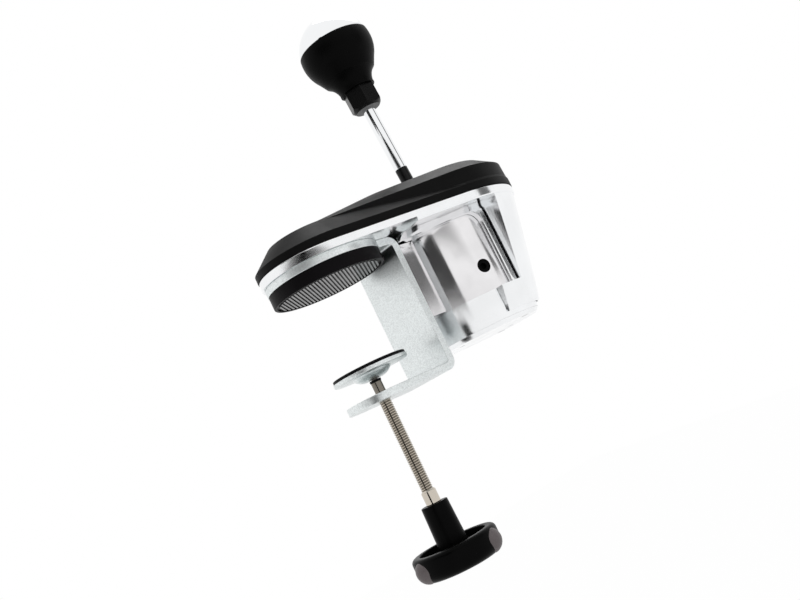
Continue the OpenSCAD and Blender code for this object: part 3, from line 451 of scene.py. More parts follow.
def rim_side(name, above):
    """Block that fills everything above, or below, the sloped plane of the rim."""
    deselect()
    long, wide, high = 600, 400, 200
    slope = bpy.context.scene.shifter_shape.rim_slope
    up = Matrix.Rotation(slope, 3, "Y") @ Vector((0, 0, 1)) * (high / 2 if above else -high / 2)
    bpy.ops.mesh.primitive_cube_add(
        size=1, location=(Vector((RIM_X, 0, RIM_Z)) + up) * MM, rotation=(0, slope, 0)
    )
    obj = named(name)
    obj.scale = (long * MM, wide * MM, high * MM)
    return settle(obj)


def rod(name, radius, middle, span, turn=(0, 0, 0), count=96):
    """Round bar about its middle, along Z unless it is turned."""
    deselect()
    bpy.ops.mesh.primitive_cylinder_add(
        vertices=count, radius=radius * MM, depth=span * MM, location=Vector(middle) * MM, rotation=turn
    )
    return settle(named(name))


def modify(obj, kind, **values):
    """Applies a modifier to an object."""
    activate(obj)
    modifier = obj.modifiers.new(kind, kind)
    for key, value in values.items():
        setattr(modifier, key, value)
    bpy.ops.object.modifier_apply(modifier=modifier.name)
    return obj


def wind(obj, pitch, turns, steps):
    """Winds an outline up round the Z axis."""
    return modify(
        obj, "SCREW", screw_offset=pitch * MM, iterations=turns, steps=steps, render_steps=steps,
        use_merge_vertices=True,
    )


def combine(obj, other, how):
    """Adds another mesh to an object, cuts it away, or keeps what both share."""
    modify(obj, "BOOLEAN", operation=how, solver="EXACT", object=other)
    mesh = other.data
    bpy.data.objects.remove(other)
    bpy.data.meshes.remove(mesh)
    return obj


def cut(obj, *others):
    """Cuts other meshes away from an object."""
    for other in others:
        combine(obj, other, "DIFFERENCE")
    return obj


def weld(obj, *others):
    """Adds other meshes to an object."""
    for other in others:
        combine(obj, other, "UNION")
    return obj


def round_edges(obj, width, angle=30, segments=3):
    """Rounds the edges that are sharper than an angle; the width is in metres."""
    return modify(
        obj, "BEVEL", width=width, segments=segments, limit_method="ANGLE", angle_limit=math.radians(angle)
    )


def copy_solid(node, name, flat=0.5):
    """A copy of a CAD node's mesh, with its triangles merged where it is flat."""
    obj = bpy.data.objects.new(name, frame["nodes"][node].data.copy())
    bpy.context.scene.collection.objects.link(obj)
    obj.data.materials.clear()
    activate(obj)
    bpy.ops.object.mode_set(mode="EDIT")
    bpy.ops.mesh.select_all(action="SELECT")
    bpy.ops.mesh.remove_doubles(threshold=MERGE)
    bpy.ops.mesh.dissolve_limited(angle_limit=math.radians(flat))
    bpy.ops.object.mode_set(mode="OBJECT")
    return obj


def mirrored(obj, name):
    """A copy of an object on the other side of the part's middle plane."""
    twin = bpy.data.objects.new(name, obj.data.copy())
    bpy.context.scene.collection.objects.link(twin)
    twin.scale = (1, -1, 1)
    settle(twin)
    bpy.ops.object.mode_set(mode="EDIT")
    close()
    return twin


def on_stick(obj):
    """Moves a piece that was modelled about the origin to the stick's own leaning axis."""
    obj.location = PIVOT
    obj.rotation_euler = (0, -bpy.context.scene.shifter_shape.lean, 0)
    return settle(obj)


def finish(obj, body, slot, *nodes, angle=30, look=None):
    """Shades a piece, gives it its material, puts it under the empty of the body it rides on, and hides
    the CAD nodes it stands for.
    """
    activate(obj)
    bpy.ops.object.shade_smooth_by_angle(angle=math.radians(angle))
    modify(obj, "WEIGHTED_NORMAL", keep_sharp=True)
    obj.data.materials.clear()
    obj.data.materials.append(material(look or slot))
    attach(obj, body)
    if nodes:
        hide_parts(*nodes)
    return obj


# Finishes


def link(tree, *rows):
    """Links nodes: each row is a node, its output, another node and its input."""
    for node, output, other, entry in rows:
        tree.links.new(node.outputs[output], other.inputs[entry])


def node_group(name, inputs, output):
    """An empty shader group with named sockets, its input node and its output node."""
    tree = bpy.data.node_groups.new(name, "ShaderNodeTree")
    for label, kind, default in inputs:
        socket = tree.interface.new_socket(name=label, in_out="INPUT", socket_type=kind)
        socket.default_value = default
    tree.interface.new_socket(name=output, in_out="OUTPUT", socket_type="NodeSocketFloat")
    return tree, tree.nodes.new("NodeGroupInput"), tree.nodes.new("NodeGroupOutput")


def grain_group():
    """Fine grain that a Mapping node can stretch into brush marks."""
    tree, given, made = node_group("Grain", [
        ("Scale", "NodeSocketFloat", 900.0), ("Stretch", "NodeSocketVector", (1.0, 1.0, 1.0)),
    ], "Height")
    where = tree.nodes.new("ShaderNodeTexCoord")
    mapping = tree.nodes.new("ShaderNodeMapping")
    noise = tree.nodes.new("ShaderNodeTexNoise")
    noise.inputs["Detail"].default_value = 4.0
    noise.inputs["Roughness"].default_value = 0.6
    link(
        tree, (where, "Object", mapping, "Vector"), (given, "Stretch", mapping, "Scale"),
        (mapping, "Vector", noise, "Vector"), (given, "Scale", noise, "Scale"),
        (noise, "Fac", made, "Height"),
    )
    return tree


def patches_group():
    """Soft patches, as from handling, between two levels of a broad noise."""
    tree, given, made = node_group("Patches", [
        ("Scale", "NodeSocketFloat", 40.0), ("Low", "NodeSocketFloat", 0.35),
        ("High", "NodeSocketFloat", 0.65),
    ], "Mask")
    where = tree.nodes.new("ShaderNodeTexCoord")
    noise = tree.nodes.new("ShaderNodeTexNoise")
    noise.inputs["Detail"].default_value = 5.0
    levels = tree.nodes.new("ShaderNodeMapRange")
    link(
        tree, (where, "Object", noise, "Vector"), (given, "Scale", noise, "Scale"),
        (noise, "Fac", levels, "Value"), (given, "Low", levels, "From Min"),
        (given, "High", levels, "From Max"), (levels, "Result", made, "Mask"),
    )
    return tree


def spangle_group():
    """Crystals of a zinc coat: a value for each cell."""
    tree, given, made = node_group("Spangle", [("Scale", "NodeSocketFloat", 600.0)], "Mask")
    where = tree.nodes.new("ShaderNodeTexCoord")
    cells = tree.nodes.new("ShaderNodeTexVoronoi")
    split = tree.nodes.new("ShaderNodeSeparateColor")
    link(
        tree, (where, "Object", cells, "Vector"), (given, "Scale", cells, "Scale"),
        (cells, "Color", split, "Color"), (split, "Red", made, "Mask"),
    )
    return tree


def groove_dirt_and_shade_group():
    """Darkening near the part's Z axis, partly dirt and partly painted shade in a thread's roots and on
    its plain neck: 0 at a low radius about the axis, 1 at a high one.
    """
    tree, given, made = node_group("Groove", [
        ("Low", "NodeSocketFloat", 0.0035), ("High", "NodeSocketFloat", 0.004),
    ], "Mask")
    where = tree.nodes.new("ShaderNodeTexCoord")
    flat = tree.nodes.new("ShaderNodeVectorMath")
    flat.operation = "MULTIPLY"
    flat.inputs[1].default_value = (1, 1, 0)
    radius = tree.nodes.new("ShaderNodeVectorMath")
    radius.operation = "LENGTH"
    levels = tree.nodes.new("ShaderNodeMapRange")
    link(
        tree, (where, "Object", flat, 0), (flat, "Vector", radius, 0),
        (radius, "Value", levels, "Value"), (given, "Low", levels, "From Min"),
        (given, "High", levels, "From Max"), (levels, "Result", made, "Mask"),
    )
    return tree


GROUPS = {
    "Grain": grain_group, "Patches": patches_group, "Spangle": spangle_group, "Groove": groove_dirt_and_shade_group,
}


def place_group(tree, name, **values):
    """Places a shared group in a material with its own values; the group is made for its first use."""
    node = tree.nodes.new("ShaderNodeGroup")
    node.node_tree = bpy.data.node_groups.get(name) or GROUPS[name]()
    for label, value in values.items():
        node.inputs[label].default_value = value
    return node


def surface(
    name, light, dark, rough, metallic=0.0, grain=900.0, stretch=(1, 1, 1), bump=0.02, patch=60.0,
    spangle=0.0, groove=None, specular=0.5, coat=0.0,
):
    """A material: colour and roughness that vary in patches, crystals or grooves (partly dirt, partly
    painted shade), and a grain.
    """
    made = bpy.data.materials.new(name)
    made.use_nodes = True
    tree = made.node_tree
    shader = tree.nodes["Principled BSDF"]
    if spangle:
        mask = place_group(tree, "Spangle", Scale=spangle)
    elif groove:
        mask = place_group(tree, "Groove", Low=groove[0] * MM, High=groove[1] * MM)
    else:
        mask = place_group(tree, "Patches", Scale=patch)
    tint = tree.nodes.new("ShaderNodeMix")
    tint.data_type = "RGBA"
    tint.inputs[MIX_A].default_value = (*dark, 1)
    tint.inputs[MIX_B].default_value = (*light, 1)
    levels = tree.nodes.new("ShaderNodeMapRange")
    levels.inputs["To Min"].default_value = rough[1]
    levels.inputs["To Max"].default_value = rough[0]
    height = place_group(tree, "Grain", Scale=grain, Stretch=stretch)
    relief = tree.nodes.new("ShaderNodeBump")
    relief.inputs["Distance"].default_value = bump * MM
    relief.inputs["Strength"].default_value = 1.0
    link(
        tree, (mask, "Mask", tint, MIX_FACTOR), (tint, MIX_RESULT, shader, "Base Color"),
        (mask, "Mask", levels, "Value"), (levels, "Result", shader, "Roughness"),
        (height, "Height", relief, "Height"), (relief, "Normal", shader, "Normal"),
    )
    shader.inputs["Metallic"].default_value = metallic
    shader.inputs["Specular IOR Level"].default_value = specular
    shader.inputs["Coat Weight"].default_value = coat
    shader.inputs["Coat Roughness"].default_value = COAT_ROUGHNESS
    return made


def material(look):
    """A finish, made when it is first asked for; the frame's own plain material has the bare name."""
    name = look + "_finish"
    if name in bpy.data.materials:
        return bpy.data.materials[name]
    values = dict(FINISHES[look])
    light, dark = values.pop("light"), values.pop("dark")
    if isinstance(light, str):
        light = getattr(bpy.context.scene.shifter_colours, light)
        dark = tuple(c * dark for c in light)
    return surface(name, light, dark, **values)


# Pieces


class SHIFTER_OT_cover(bpy.types.Operator):
    """Model the moulded cover: an upright wall, a shoulder, and a raised deck with the gate's recess"""

    bl_idname = "shifter.cover"
    bl_label = "Cover"

    def execute(self, context):
        shape = context.scene.shifter_shape
        edge, sharp = shape.cover_edge, 14
        wall_z, shoulder_z, tail_z, deck_z, under_z = 22.0, 23.5, 35.5, 41.5, 37.3
        tail, body, wall = TAIL_R + 0.5, BODY_R + 0.5, 3.0
        tail_top, deck_r, nose_x, nose_r = 27.0, 48.5, 56.0, 34.0
        recess_r, recess_z, recess_span = 44.3, 45.3, 10
        rise = RIM_X * math.tan(shape.rim_slope)
        cover = hull("cover", [
            (0, tail, RIM_Z), (0, tail, wall_z + rise), (BODY_X, body, RIM_Z - 1), (BODY_X, body, wall_z),
            (0, tail_top, tail_z), (BODY_X, BODY_R, shoulder_z),
        ])
        round_edges(cut(cover, rim_side("under", False)), edge, sharp)
        deck = hull("deck", [
            (0, tail_top - 0.5, tail_z - 0.5), (BODY_X, BODY_R, wall_z), (BODY_X, 60, 33.5),
            (BODY_X, deck_r, deck_z), (nose_x, nose_r, deck_z),
        ])
        weld(cover, round_edges(deck, edge, sharp))
        inside = hull("inside", [
            (0, tail - wall, RIM_Z - wall), (0, tail - wall, wall_z - 0.5 + rise),
            (BODY_X, body - wall, RIM_Z - wall), (BODY_X, body - wall, wall_z - 0.5),
            (0, tail_top - wall, tail_z - wall),
        ])
        under_deck = hull("under_deck", [
            (0, tail_top - 0.5 - wall, tail_z - 0.5 - wall), (BODY_X, BODY_R - wall, wall_z - wall),
            (BODY_X, 56.5, 32), (BODY_X, deck_r - wall, under_z), (nose_x, nose_r - wall, under_z),
        ])
        recess = rod("recess", recess_r, (BODY_X, 0, recess_z), recess_span, count=192)
        opening = block("opening", (72.5, -34.6, 30), (122.6, 20.2, 45))
        round_edges(opening, 6 * MM, 30, 6)
        cut(cover, inside, under_deck, recess, opening)
        finish(cover, "body", "cover_plastic", "top_cover")
        return {"FINISHED"}


class SHIFTER_OT_gate(bpy.types.Operator):
    """Model the gate plate, with eased edges round its slots"""

    bl_idname = "shifter.gate"
    bl_label = "Gate plate"

    def execute(self, context):
        gate = round_edges(copy_solid("gate_plate", "gate"), 0.2 * MM, 40, 2)
        finish(gate, "body", "gate_steel", "gate_plate")
        return {"FINISHED"}


class SHIFTER_OT_shell(bpy.types.Operator):
    """Model the polished casting: the tray, the back round the barrel, and the lip round each window"""

    bl_idname = "shifter.shell"
    bl_label = "Shell"

    def execute(self, context):
        shape = context.scene.shifter_shape
        nose, corner = shape.lip_nose / MM, shape.lip_corner / MM
        inner, rib_r, lip_z, slope_z, root_z = 40.3, 44.0, 8, 11.7, 12.4
        front_x, wide, steps = -60, 90, 160
        shell = hull("shell", [
            (0, TAIL_R, CEILING_Z), (0, TAIL_R, RIM_Z + 4),
            (BODY_X, BODY_R, CEILING_Z), (BODY_X, BODY_R, RIM_Z + 4),
        ])
        round_edges(cut(shell, rim_side("over", True)), shape.shell_edge)
        wrap = lathe("wrap", soften([
            (inner, 13.0), (59.9, 13.0), (44.75, -55, 3), (42.6, SILL_Z, 0.8), (41.3, SILL_Z, 0.3),
            (41.3, BARREL_Z + 0.3), (inner, BARREL_Z + 0.3),
        ]), BODY_X, ring=True, steps=steps)
        window = block("window", (front_x, -wide, BARREL_Z), (BODY_X + 8.5, wide, CEILING_Z))
        front = block("front", (front_x, -wide, -80), (BODY_X - 10, wide, BARREL_Z + 0.01))
        cut(wrap, window, front)
        arch = lathe("arch", soften([
            (40.6, lip_z, 0.5), (44.1, lip_z, nose), (55, slope_z), (55, root_z), (40.6, root_z),
        ]), BODY_X, ring=True, steps=steps)
        cut(arch, block("behind", (BODY_X + 9.5, -wide, 0), (220, wide, 30)))
        rib = swept("rib", band(inner, rib_r, BARREL_Z - 1, 9.5), BODY_X, -86.5, -80.4, 6)
        round_edges(rib, 0.8 * MM, 40)
        fillet = swept("fillet", band(inner, rib_r, lip_z - corner, 9), BODY_X, -99, -84, 12)
        middle = (BODY_X + 2.6 - corner, -43, lip_z - corner)
        weld(rib, cut(fillet, rod("hollow", corner, middle, 30, (math.radians(90), 0, 0))))
        run = wedge("run", [
            (47.0, -24.6, lip_z), (47.9, -21.4, lip_z), (83.2, -40.2, lip_z), (81.8, -37.0, lip_z),
            (46.8, -33.0, slope_z), (79.0, -48.5, slope_z), (46.8, -33.0, root_z),
            (79.0, -48.5, root_z), (47.9, -21.4, root_z), (81.8, -37.0, root_z),
        ])
        round_edges(run, shape.lip_nose)
        weld(shell, wrap, arch, rib, mirrored(rib, "rib_far"), mirrored(run, "run_far"), run)
        strap_room = block("strap_room", (front_x, -wide, -30), (STRAP_BACK + 1, wide, SEAT_Z))
        cut(shell, strap_room, rod("throat", 30, (BODY_X, 0, 14), 20))
        finish(shell, "body", "shell_metal", "body_shell")
        # Black strips in the slits beside each window's rib: painted shade, dark pieces standing in for
        # the shadow deep in the slits.
        shade_strip = swept("seals", band(41.7, 43.0, BARREL_Z + 1, 7), BODY_X, -80.3, -78.5, 4)
        round_edges(shade_strip, 0.2 * MM, 40, 2)
        weld(shade_strip, mirrored(shade_strip, "seal_far"))
        finish(shade_strip, "body", "foot_rubber")
        return {"FINISHED"}


class SHIFTER_OT_barrel(bpy.types.Operator):
    """Model the brushed barrel, the ring that closes it, the base cover and the cable socket"""

    bl_idname = "shifter.barrel"
    bl_label = "Barrel and base"

    def execute(self, context):
        for node, name, slot, edge, angle, segments in (
            ("mechanism_housing", "barrel", "barrel_metal", 0.5, 50, 3),
            ("barrel_base", "base_ring", "shell_metal", 0.5, 50, 3),
            ("base_cover", "base_plate", "shell_metal", 0.4, 35, 2),
            ("cable_socket", "socket", "socket_plastic", 0.3, 50, 2),
        ):
            piece = round_edges(copy_solid(node, name), edge * MM, angle, segments)
            finish(piece, "body", slot, node)
        return {"FINISHED"}


class SHIFTER_OT_strap(bpy.types.Operator):
    """Model the plated strap with its rounded edges"""

    bl_idname = "shifter.strap"
    bl_label = "Strap"

    def execute(self, context):
        strap = copy_solid("clamp_bracket", "strap")
        round_edges(strap, context.scene.shifter_shape.strap_edge, 50)
        finish(strap, "body", "zinc_steel", "clamp_bracket")
        return {"FINISHED"}


class SHIFTER_OT_pad(bpy.types.Operator):
    """Model the ribbed rubber pad that rests on the desk top"""

    bl_idname = "shifter.pad"
    bl_label = "Upper pad"

    def execute(self, context):
        radius, field, top, steps = 38.0, 36.0, 8.5, 160
        pitch, width, depth, count, turn, gap = 2.2, 1.1, 1.2, 33, 52, 1.6
        pad = lathe("pad", soften([
            (0, depth), (field, depth, 0.2), (field, 0, 0.4), (radius, 0, 0.7), (radius, top, 0.3),
            (0, top),
        ]), steps=steps)
        finish(pad, "body", "pad_rubber", "upper_pad")
        first = -(count - 1) / 2 * pitch
        ribs = block("pad_ribs", (-40, first - width / 2, 0), (40, first + width / 2, depth + 0.2))
        modify(
            ribs, "ARRAY", count=count, use_relative_offset=False, use_constant_offset=True,
            constant_offset_displace=(0, pitch * MM, 0),
        )
        ribs.rotation_euler = (0, 0, math.radians(turn))
        combine(settle(ribs), rod("field", field - gap, (0, 0, 0), 10, count=steps), "INTERSECT")
        round_edges(ribs, context.scene.shifter_shape.rib_edge, 50, 2)
        finish(ribs, "body", "pad_rubber", look="pad_ribs")
        return {"FINISHED"}


class SHIFTER_OT_foot(bpy.types.Operator):
    """Model the swivel foot: its rubber, its plate with the boss, and the ring under it"""

    bl_idname = "shifter.foot"
    bl_label = "Swivel foot"

    def execute(self, context):
        room, mouth, face_z, plate_z, boss_z, boss_h = 3.5, 2.55, -56, -58.0, -60.5, 4.5
        plate_r, rubber_r, washer_r, bore, washer_top = 25, 24.5, 3.8, 2.05, -65.5
        dome_inner, dome_width, dome_sweep, parts = 5.1, 8.15, 60, 24
        rubber = lathe("foot_rubber", soften([
            (0, plate_z), (rubber_r, plate_z, 0.2), (rubber_r, face_z, 0.6), (0, face_z),
        ]), steps=128)
        finish(rubber, "foot", "foot_rubber", "foot_pad")
        low = math.degrees(math.acos(mouth / room))
        dome = []
        for k in range(parts + 1):
            turn = math.radians(dome_sweep * (1 - k / parts))
            out = dome_inner + dome_width * math.sin(turn) / math.sin(math.radians(dome_sweep))
            dome.append(Vector((out, boss_z - boss_h * (2 * math.cos(turn) - 1))))
        plate = lathe("foot_disc", [
            *soften([(0, plate_z), (plate_r, plate_z, 0.3), (plate_r, boss_z, 0.8), (13.9, boss_z)]),
            *dome, Vector((mouth, boss_z - boss_h)), *arc(0, BALL_Z, room, -low, 90),
        ], steps=128)
        finish(plate, "foot", "zinc_steel", "foot_plate")
        washer = lathe("foot_washer", soften([
            (bore, WASHER_Z), (washer_r, WASHER_Z, 0.3), (washer_r, washer_top, 0.3), (bore, washer_top),
        ]), ring=True, steps=64)
        finish(washer, "swivel", "foot_rubber", "foot_ring")
        return {"FINISHED"}


class SHIFTER_OT_clamp_screw(bpy.types.Operator):
    """Model the clamp screw: its ball end, its neck, a real thread, and a polished shoulder"""

    bl_idname = "shifter.clamp_screw"
    bl_label = "Clamp screw"

    def execute(self, context):
        shape = context.scene.shifter_shape
        pitch, depth = shape.thread_pitch / MM, shape.thread_depth / MM
        start, end, shoulder_z, tip_z = -74.9, -140.9, -148.9, -169.9
        crest, ball, neck_r, plain_r, shoulder_r = 4.0, 3.2, 2, 3.5, 4.8
        root, sunk, lead_in, lead_out = crest - depth, crest - depth - 0.3, 1.2, 0.5
        crest_half, flank_half, sunk_half = 0.09 * pitch, 0.39 * pitch, 0.42 * pitch
        neck = math.degrees(math.acos(neck_r / ball))
        screw = lathe("screw", [
            *arc(0, BALL_Z, ball, 90, -neck, 24),
            *soften([
                (neck_r, WASHER_Z + 1), (neck_r, WASHER_Z), (plain_r, WASHER_Z, 0.3), (plain_r, start),
                (root, start - 0.2), (root, end + 1.4), (shoulder_r, end, 0.4),
                (shoulder_r, shoulder_z, 0.4), (crest, shoulder_z), (crest, tip_z), (0, tip_z),
            ]),
        ], steps=64)
        ridge = draw("ridge", [Vector((r, 0, z)) for r, z in (
            (sunk, -sunk_half), (root, -flank_half), (crest, -crest_half), (crest, crest_half),
            (root, flank_half), (sunk, sunk_half), (sunk, -sunk_half),
        )])
        bpy.ops.mesh.select_all(action="SELECT")
        bpy.ops.mesh.remove_doubles(threshold=MERGE)
        bpy.ops.transform.translate(value=(0, 0, (end + lead_in) * MM))
        wind(ridge, pitch, int((start - lead_out - end - lead_in) / pitch), 40)
        bpy.ops.object.mode_set(mode="EDIT")
        close(fill=True)
        deselect()
        ridge.select_set(True)
        screw.select_set(True)
        context.view_layer.objects.active = screw
        bpy.ops.object.join()
        finish(screw, "screw", "thread_steel", "clamp_screw", angle=25)
        return {"FINISHED"}


class SHIFTER_OT_handle(bpy.types.Operator):
    """Model the moulded handle: a tapered stem in a hollow grip with three lobes"""

    bl_idname = "shifter.handle"
    bl_label = "Handle"

    def execute(self, context):
        low, floor, top, stem_top, bush_low = -189.9, -185.9, -173.9, -148.9, -170.2
        grip_r, hollow_r, stem_r, stem_top_r, bore, bush_r = 28, 22, 9.5, 8.75, 4.02, 6.02
        lobe_out, lobe_r, lobe_z, trough_r = 23, 8, -181.9, 25
        handle = lathe("handle", soften([
            (0, low), (grip_r, low, 6), (grip_r, top, 3), (hollow_r, top, 0.8), (hollow_r, floor, 1.5),
            (stem_r, floor, 2), (stem_r, top), (stem_top_r, stem_top, 0.6), (bore, stem_top),
            (bore, stem_top - 1), (bush_r, stem_top - 1), (bush_r, bush_low), (0, bush_low),
        ], 6))
        finish(handle, "screw", "handle_plastic", "clamp_handle")
        lobes = None
        for angle in (55, 175, 295):
            deselect()
            turn = math.radians(angle)
            place = Vector((lobe_out * math.cos(turn), lobe_out * math.sin(turn), lobe_z))
            bpy.ops.mesh.primitive_uv_sphere_add(
                segments=48, ring_count=24, radius=lobe_r * MM, location=place * MM
            )
            lobe = settle(named("lobes"))
            cut(lobe, rod("trough", trough_r, (0, 0, lobe_z), 30))
            lobes = weld(lobes, lobe) if lobes else lobe
        # The lobes take the lighter finish as painted sheen; they are moulded with the black handle.
        finish(lobes, "screw", "handle_plastic", look="handle_lobes")
        return {"FINISHED"}


class SHIFTER_OT_knob(bpy.types.Operator):
    """Model the knob: a bulb with a hollow neck, a chrome cap, and the hexagonal collar"""

    bl_idname = "shifter.knob"
    bl_label = "Knob"

    def execute(self, context):
        neck = 167.5
        middle, edge, bore_top = neck + 32.0, neck + 37.5, neck + 30.3
        radius, bulb, waist, skirt, bore = 26.8, 24.94, 14.3, 13.2, 7.02
        grip = lathe("knob", [
            Vector((0, bore_top)), Vector((bore, bore_top)),
            *soften([(bore, neck), (skirt, neck, 0.4), (skirt, neck + 1.2, 0.3), (12.96, neck + 1.25)]),
            *arc(12.9 + waist, neck, waist, 174, 124, 14),
            *arc(radius - bulb, middle, bulb, -34, 0, 14),
            *arc(0, middle, radius, 1, 11.3, 6),
            Vector((25.9, edge)), Vector((0, edge)),
        ])
        finish(on_stick(grip), "stick", "knob_plastic", "knob_grip")
        low = math.degrees(math.asin((edge - middle) / radius))
        cap = lathe("knob_dome", [
            *arc(0, middle, radius, 90, low + 0.6, 32),
            Vector((26.0, edge + 0.02)), Vector((24.2, edge + 0.02)),
            *arc(0, middle, radius - 2, low + 1.5, 90, 32),
        ], steps=128)
        finish(on_stick(cap), "stick", "knob_chrome", "knob_cap")
        collar = round_edges(copy_solid("knob_collar", "collar"), 0.4 * MM, 25)
        finish(collar, "stick", "collar_metal", "knob_collar")
        return {"FINISHED"}


class SHIFTER_OT_stick(bpy.types.Operator):
    """Model the chrome stick and the bush that runs in the gate"""

    bl_idname = "shifter.stick"
    bl_label = "Stick and bush"

    def execute(self, context):
        low, bush_low, bush_top, top, thin_r, stick_r, bore = 4.5, 65.4, 103.4, 197.5, 3.3, 4.5, 3.32
        stick = lathe("stick", soften([
            (0, low), (thin_r, low, 0.5), (thin_r, bush_top), (stick_r, bush_top, 0.2),
            (stick_r, top, 0.5), (0, top),
        ]), steps=64)
        finish(on_stick(stick), "stick", "stick_chrome", "gear_stick")
        bush = lathe("bush", soften([
            (bore, bush_low), (stick_r, bush_low, 0.2), (stick_r, bush_top, 0.3), (bore, bush_top),
        ]), ring=True, steps=64)
        finish(on_stick(bush), "stick", "bush_plastic", "stick_bush")
        return {"FINISHED"}


class SHIFTER_OT_springs(bpy.types.Operator):
    """Model the two centring springs as coils; the real springs flatten as the gimbal ring turns, these
    coils do not
    """

    bl_idname = "shifter.springs"
    bl_label = "Centring springs"

    def execute(self, context):
        top_z, wire, coil, turns = -44.4, 0.5, 2.25, 8
        pitch = (top_z - BASE_Z - 2 * wire) / turns
        low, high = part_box("centring_springs")
        side = high[1] / MM - coil - wire
        springs = None
        for y in (-side, side):
            deselect()
            bpy.ops.mesh.primitive_circle_add(
                vertices=12, radius=wire * MM, location=(coil * MM, 0, 0), rotation=(math.pi / 2, 0, 0)
            )
            spring = settle(named("springs"))
            wind(spring, pitch, turns, 32)
            spring.location = ((low[0] + high[0]) / 2, y * MM, (BASE_Z + wire) * MM)
            settle(spring)
            bpy.ops.object.mode_set(mode="EDIT")
            close(fill=True)
            springs = weld(springs, spring) if springs else spring
        finish(springs, "body", "spring_steel", "centring_springs")
        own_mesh(springs)
        return {"FINISHED"}


class SHIFTER_OT_fixings(bpy.types.Operator):
    """Give the solids that stay as they are, inside the body and in its screws, their materials"""

    bl_idname = "shifter.fixings"
    bl_label = "Fixings and mechanism"

    def execute(self, context):
        slots = {part["node"]: part["material_slot"] for part in frame["record"]["subparts"]}
        for name, node in frame["nodes"].items():
            if not node.material_slots:
                node.data.materials.append(None)
            for holder in node.material_slots:
                holder.link = "OBJECT"
                holder.material = material(slots[name])
        return {"FINISHED"}


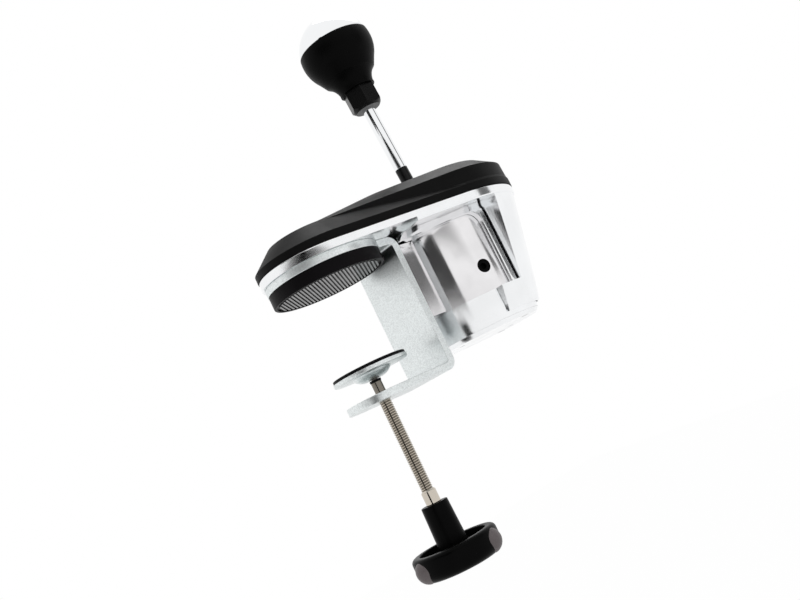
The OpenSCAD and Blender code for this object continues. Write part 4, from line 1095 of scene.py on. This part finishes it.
class SHIFTER_OT_stage(bpy.types.Operator):
    """Set the camera, the lamps, the white room, the floor and the cards that metal shows"""

    bl_idname = "shifter.stage"
    bl_label = "Stage"

    def execute(self, context):
        scene = context.scene
        stage = scene.shifter_stage
        scene.view_settings.view_transform = "Standard"
        self.add_camera(scene, stage)
        self.add_lamps(stage)
        self.add_room(scene, stage)
        self.add_floor(stage)
        for card in CARDS:
            self.add_card(*card)
        return {"FINISHED"}

    def add_camera(self, scene, stage):
        """Camera where the photograph was taken from."""
        deselect()
        bpy.ops.object.camera_add()
        camera = bpy.context.object
        camera.name = "camera"
        camera.data.lens = stage.focal_length
        camera.data.sensor_width = SENSOR_WIDTH
        camera.data.clip_start = CLIP_START
        turn, tilt, roll = (math.radians(a) for a in (CAMERA_TURN, CAMERA_TILT, CAMERA_ROLL))
        back = Vector((math.sin(turn) * math.cos(tilt), -math.cos(turn) * math.cos(tilt), math.sin(tilt)))
        right = (-back).cross(Vector((0, 0, 1))).normalized()
        up = right.cross(-back)
        across = right * math.cos(roll) + up * math.sin(roll)
        above = up * math.cos(roll) - right * math.sin(roll)
        matrix = Matrix((across, above, back)).transposed().to_4x4()
        matrix.translation = Vector(CAMERA_TARGET) * MM + back * CAMERA_DISTANCE * MM
        camera.matrix_world = matrix
        scene.camera = camera

    def add_lamps(self, stage):
        """Soft lamps: one above and behind, one at the right of the camera."""
        for name, place, size, power, shown in LAMPS:
            deselect()
            bpy.ops.object.light_add(type="AREA", location=place)
            lamp = bpy.context.object
            lamp.name = name
            lamp.data.shape = "DISK"
            lamp.data.size = size
            lamp.data.energy = getattr(stage, power)
            lamp.visible_glossy = shown
            aim = Vector(LAMP_TARGET) - Vector(place)
            lamp.rotation_euler = aim.to_track_quat("-Z", "Y").to_euler()

    def add_room(self, scene, stage):
        """White room that lenses and metal see, and that lights dull surfaces at a lower level."""
        world = scene.world or bpy.data.worlds.new("room")
        scene.world = world
        world.use_nodes = True
        tree = world.node_tree
        tree.nodes.clear()
        seen = self.seen_mask(tree)
        level = tree.nodes.new("ShaderNodeMapRange")
        level.inputs["To Min"].default_value = stage.world_level
        level.inputs["To Max"].default_value = 1.0
        glow = tree.nodes.new("ShaderNodeBackground")
        glow.inputs["Color"].default_value = (1, 1, 1, 1)
        out = tree.nodes.new("ShaderNodeOutputWorld")
        link(
            tree, (seen, 0, level, "Value"), (level, "Result", glow, "Strength"),
            (glow, "Background", out, "Surface"),
        )

    def seen_mask(self, tree):
        """Node that gives 1 for rays from the camera, from gloss and through glass."""
        path = tree.nodes.new("ShaderNodeLightPath")
        first = tree.nodes.new("ShaderNodeMath")
        second = tree.nodes.new("ShaderNodeMath")
        for node in (first, second):
            node.operation = "MAXIMUM"
        link(
            tree, (path, "Is Camera Ray", first, 0), (path, "Is Glossy Ray", first, 1),
            (first, 0, second, 0), (path, "Is Transmission Ray", second, 1),
        )
        return second

    def add_card(self, name, middle, turn, width, heights, grey, edge, away):
        """Upright card, which only polished surfaces show; its sides fade to the edge's level."""
        turn = math.radians(turn)
        low, high = heights
        x, y = middle[0] + away * math.cos(turn), middle[1] + away * math.sin(turn)
        deselect()
        bpy.ops.mesh.primitive_plane_add(
            size=1, location=(x, y, (low + high) / 2), rotation=(math.pi / 2, 0, turn + math.pi / 2)
        )
        card = named(name)
        card.scale = (width, high - low, 1)
        made = bpy.data.materials.new(name)
        made.use_nodes = True
        tree = made.node_tree
        tree.nodes.remove(tree.nodes["Principled BSDF"])
        glow = tree.nodes.new("ShaderNodeEmission")
        where = tree.nodes.new("ShaderNodeTexCoord")
        split = tree.nodes.new("ShaderNodeSeparateXYZ")
        aside = tree.nodes.new("ShaderNodeMath")
        aside.operation = "ABSOLUTE"
        level = tree.nodes.new("ShaderNodeMapRange")
        level.interpolation_type = "SMOOTHSTEP"
        level.inputs["From Max"].default_value = 0.5
        level.inputs["To Min"].default_value = grey
        level.inputs["To Max"].default_value = edge
        link(
            tree, (where, "Object", split, "Vector"), (split, "X", aside, 0), (aside, 0, level, "Value"),
            (level, "Result", glow, "Strength"),
            (glow, "Emission", tree.nodes["Material Output"], "Surface"),
        )
        card.data.materials.append(made)
        card.visible_camera = card.visible_diffuse = card.visible_shadow = False

    def add_floor(self, stage):
        """Pale floor under the object, which keeps a little of its shadow."""
        deselect()
        bpy.ops.mesh.primitive_plane_add(size=FLOOR_SIZE, location=(0, 0, stage.floor_height))
        floor = named("floor")
        made = bpy.data.materials.new("floor_white")
        made.use_nodes = True
        tree = made.node_tree
        shader = tree.nodes["Principled BSDF"]
        shader.inputs["Base Color"].default_value = (FLOOR_GREY, FLOOR_GREY, FLOOR_GREY, 1)
        shader.inputs["Roughness"].default_value = 0.9
        glow = tree.nodes.new("ShaderNodeEmission")
        share = tree.nodes.new("ShaderNodeMath")
        share.operation = "MULTIPLY"
        share.inputs[1].default_value = FLOOR_GLOW
        blend = tree.nodes.new("ShaderNodeMixShader")
        link(
            tree, (self.seen_mask(tree), 0, share, 0), (share, 0, blend, "Fac"),
            (shader, "BSDF", blend, 1), (glow, "Emission", blend, 2),
            (blend, "Shader", tree.nodes["Material Output"], "Surface"),
        )
        floor.data.materials.append(made)


OPERATORS = (
    SHIFTER_OT_stage,
    SHIFTER_OT_cover,
    SHIFTER_OT_gate,
    SHIFTER_OT_shell,
    SHIFTER_OT_barrel,
    SHIFTER_OT_strap,
    SHIFTER_OT_pad,
    SHIFTER_OT_foot,
    SHIFTER_OT_clamp_screw,
    SHIFTER_OT_handle,
    SHIFTER_OT_knob,
    SHIFTER_OT_stick,
    SHIFTER_OT_springs,
    SHIFTER_OT_fixings,
)


class SHIFTER_PT_pieces(bpy.types.Panel):
    """Pieces of the gear shifter, in the order in which they are made"""

    bl_idname = "SHIFTER_PT_pieces"
    bl_label = "Gear shifter"
    bl_space_type = "VIEW_3D"
    bl_region_type = "UI"
    bl_category = "Shifter"

    def draw(self, context):
        scene = context.scene
        for group in (scene.shifter_shape, scene.shifter_colours, scene.shifter_stage):
            box = self.layout.box()
            for key in group.__annotations__:
                box.prop(group, key)
        for operator in OPERATORS:
            self.layout.operator(operator.bl_idname)


CLASSES = (ShifterShape, ShifterColours, ShifterStage, *OPERATORS, SHIFTER_PT_pieces)


def register():
    """Registers the classes and the scene's properties."""
    for cls in CLASSES:
        bpy.utils.register_class(cls)
    bpy.types.Scene.shifter_shape = bpy.props.PointerProperty(type=ShifterShape)
    bpy.types.Scene.shifter_colours = bpy.props.PointerProperty(type=ShifterColours)
    bpy.types.Scene.shifter_stage = bpy.props.PointerProperty(type=ShifterStage)


def unregister():
    """Takes the properties and the classes away again."""
    del bpy.types.Scene.shifter_stage
    del bpy.types.Scene.shifter_colours
    del bpy.types.Scene.shifter_shape
    for cls in reversed(CLASSES):
        bpy.utils.unregister_class(cls)


def main():
    """Makes the pieces in order."""
    register()
    for operator in OPERATORS:
        group, name = operator.bl_idname.split(".")
        getattr(getattr(bpy.ops, group), name)()


if __name__ == "__main__":
    main()
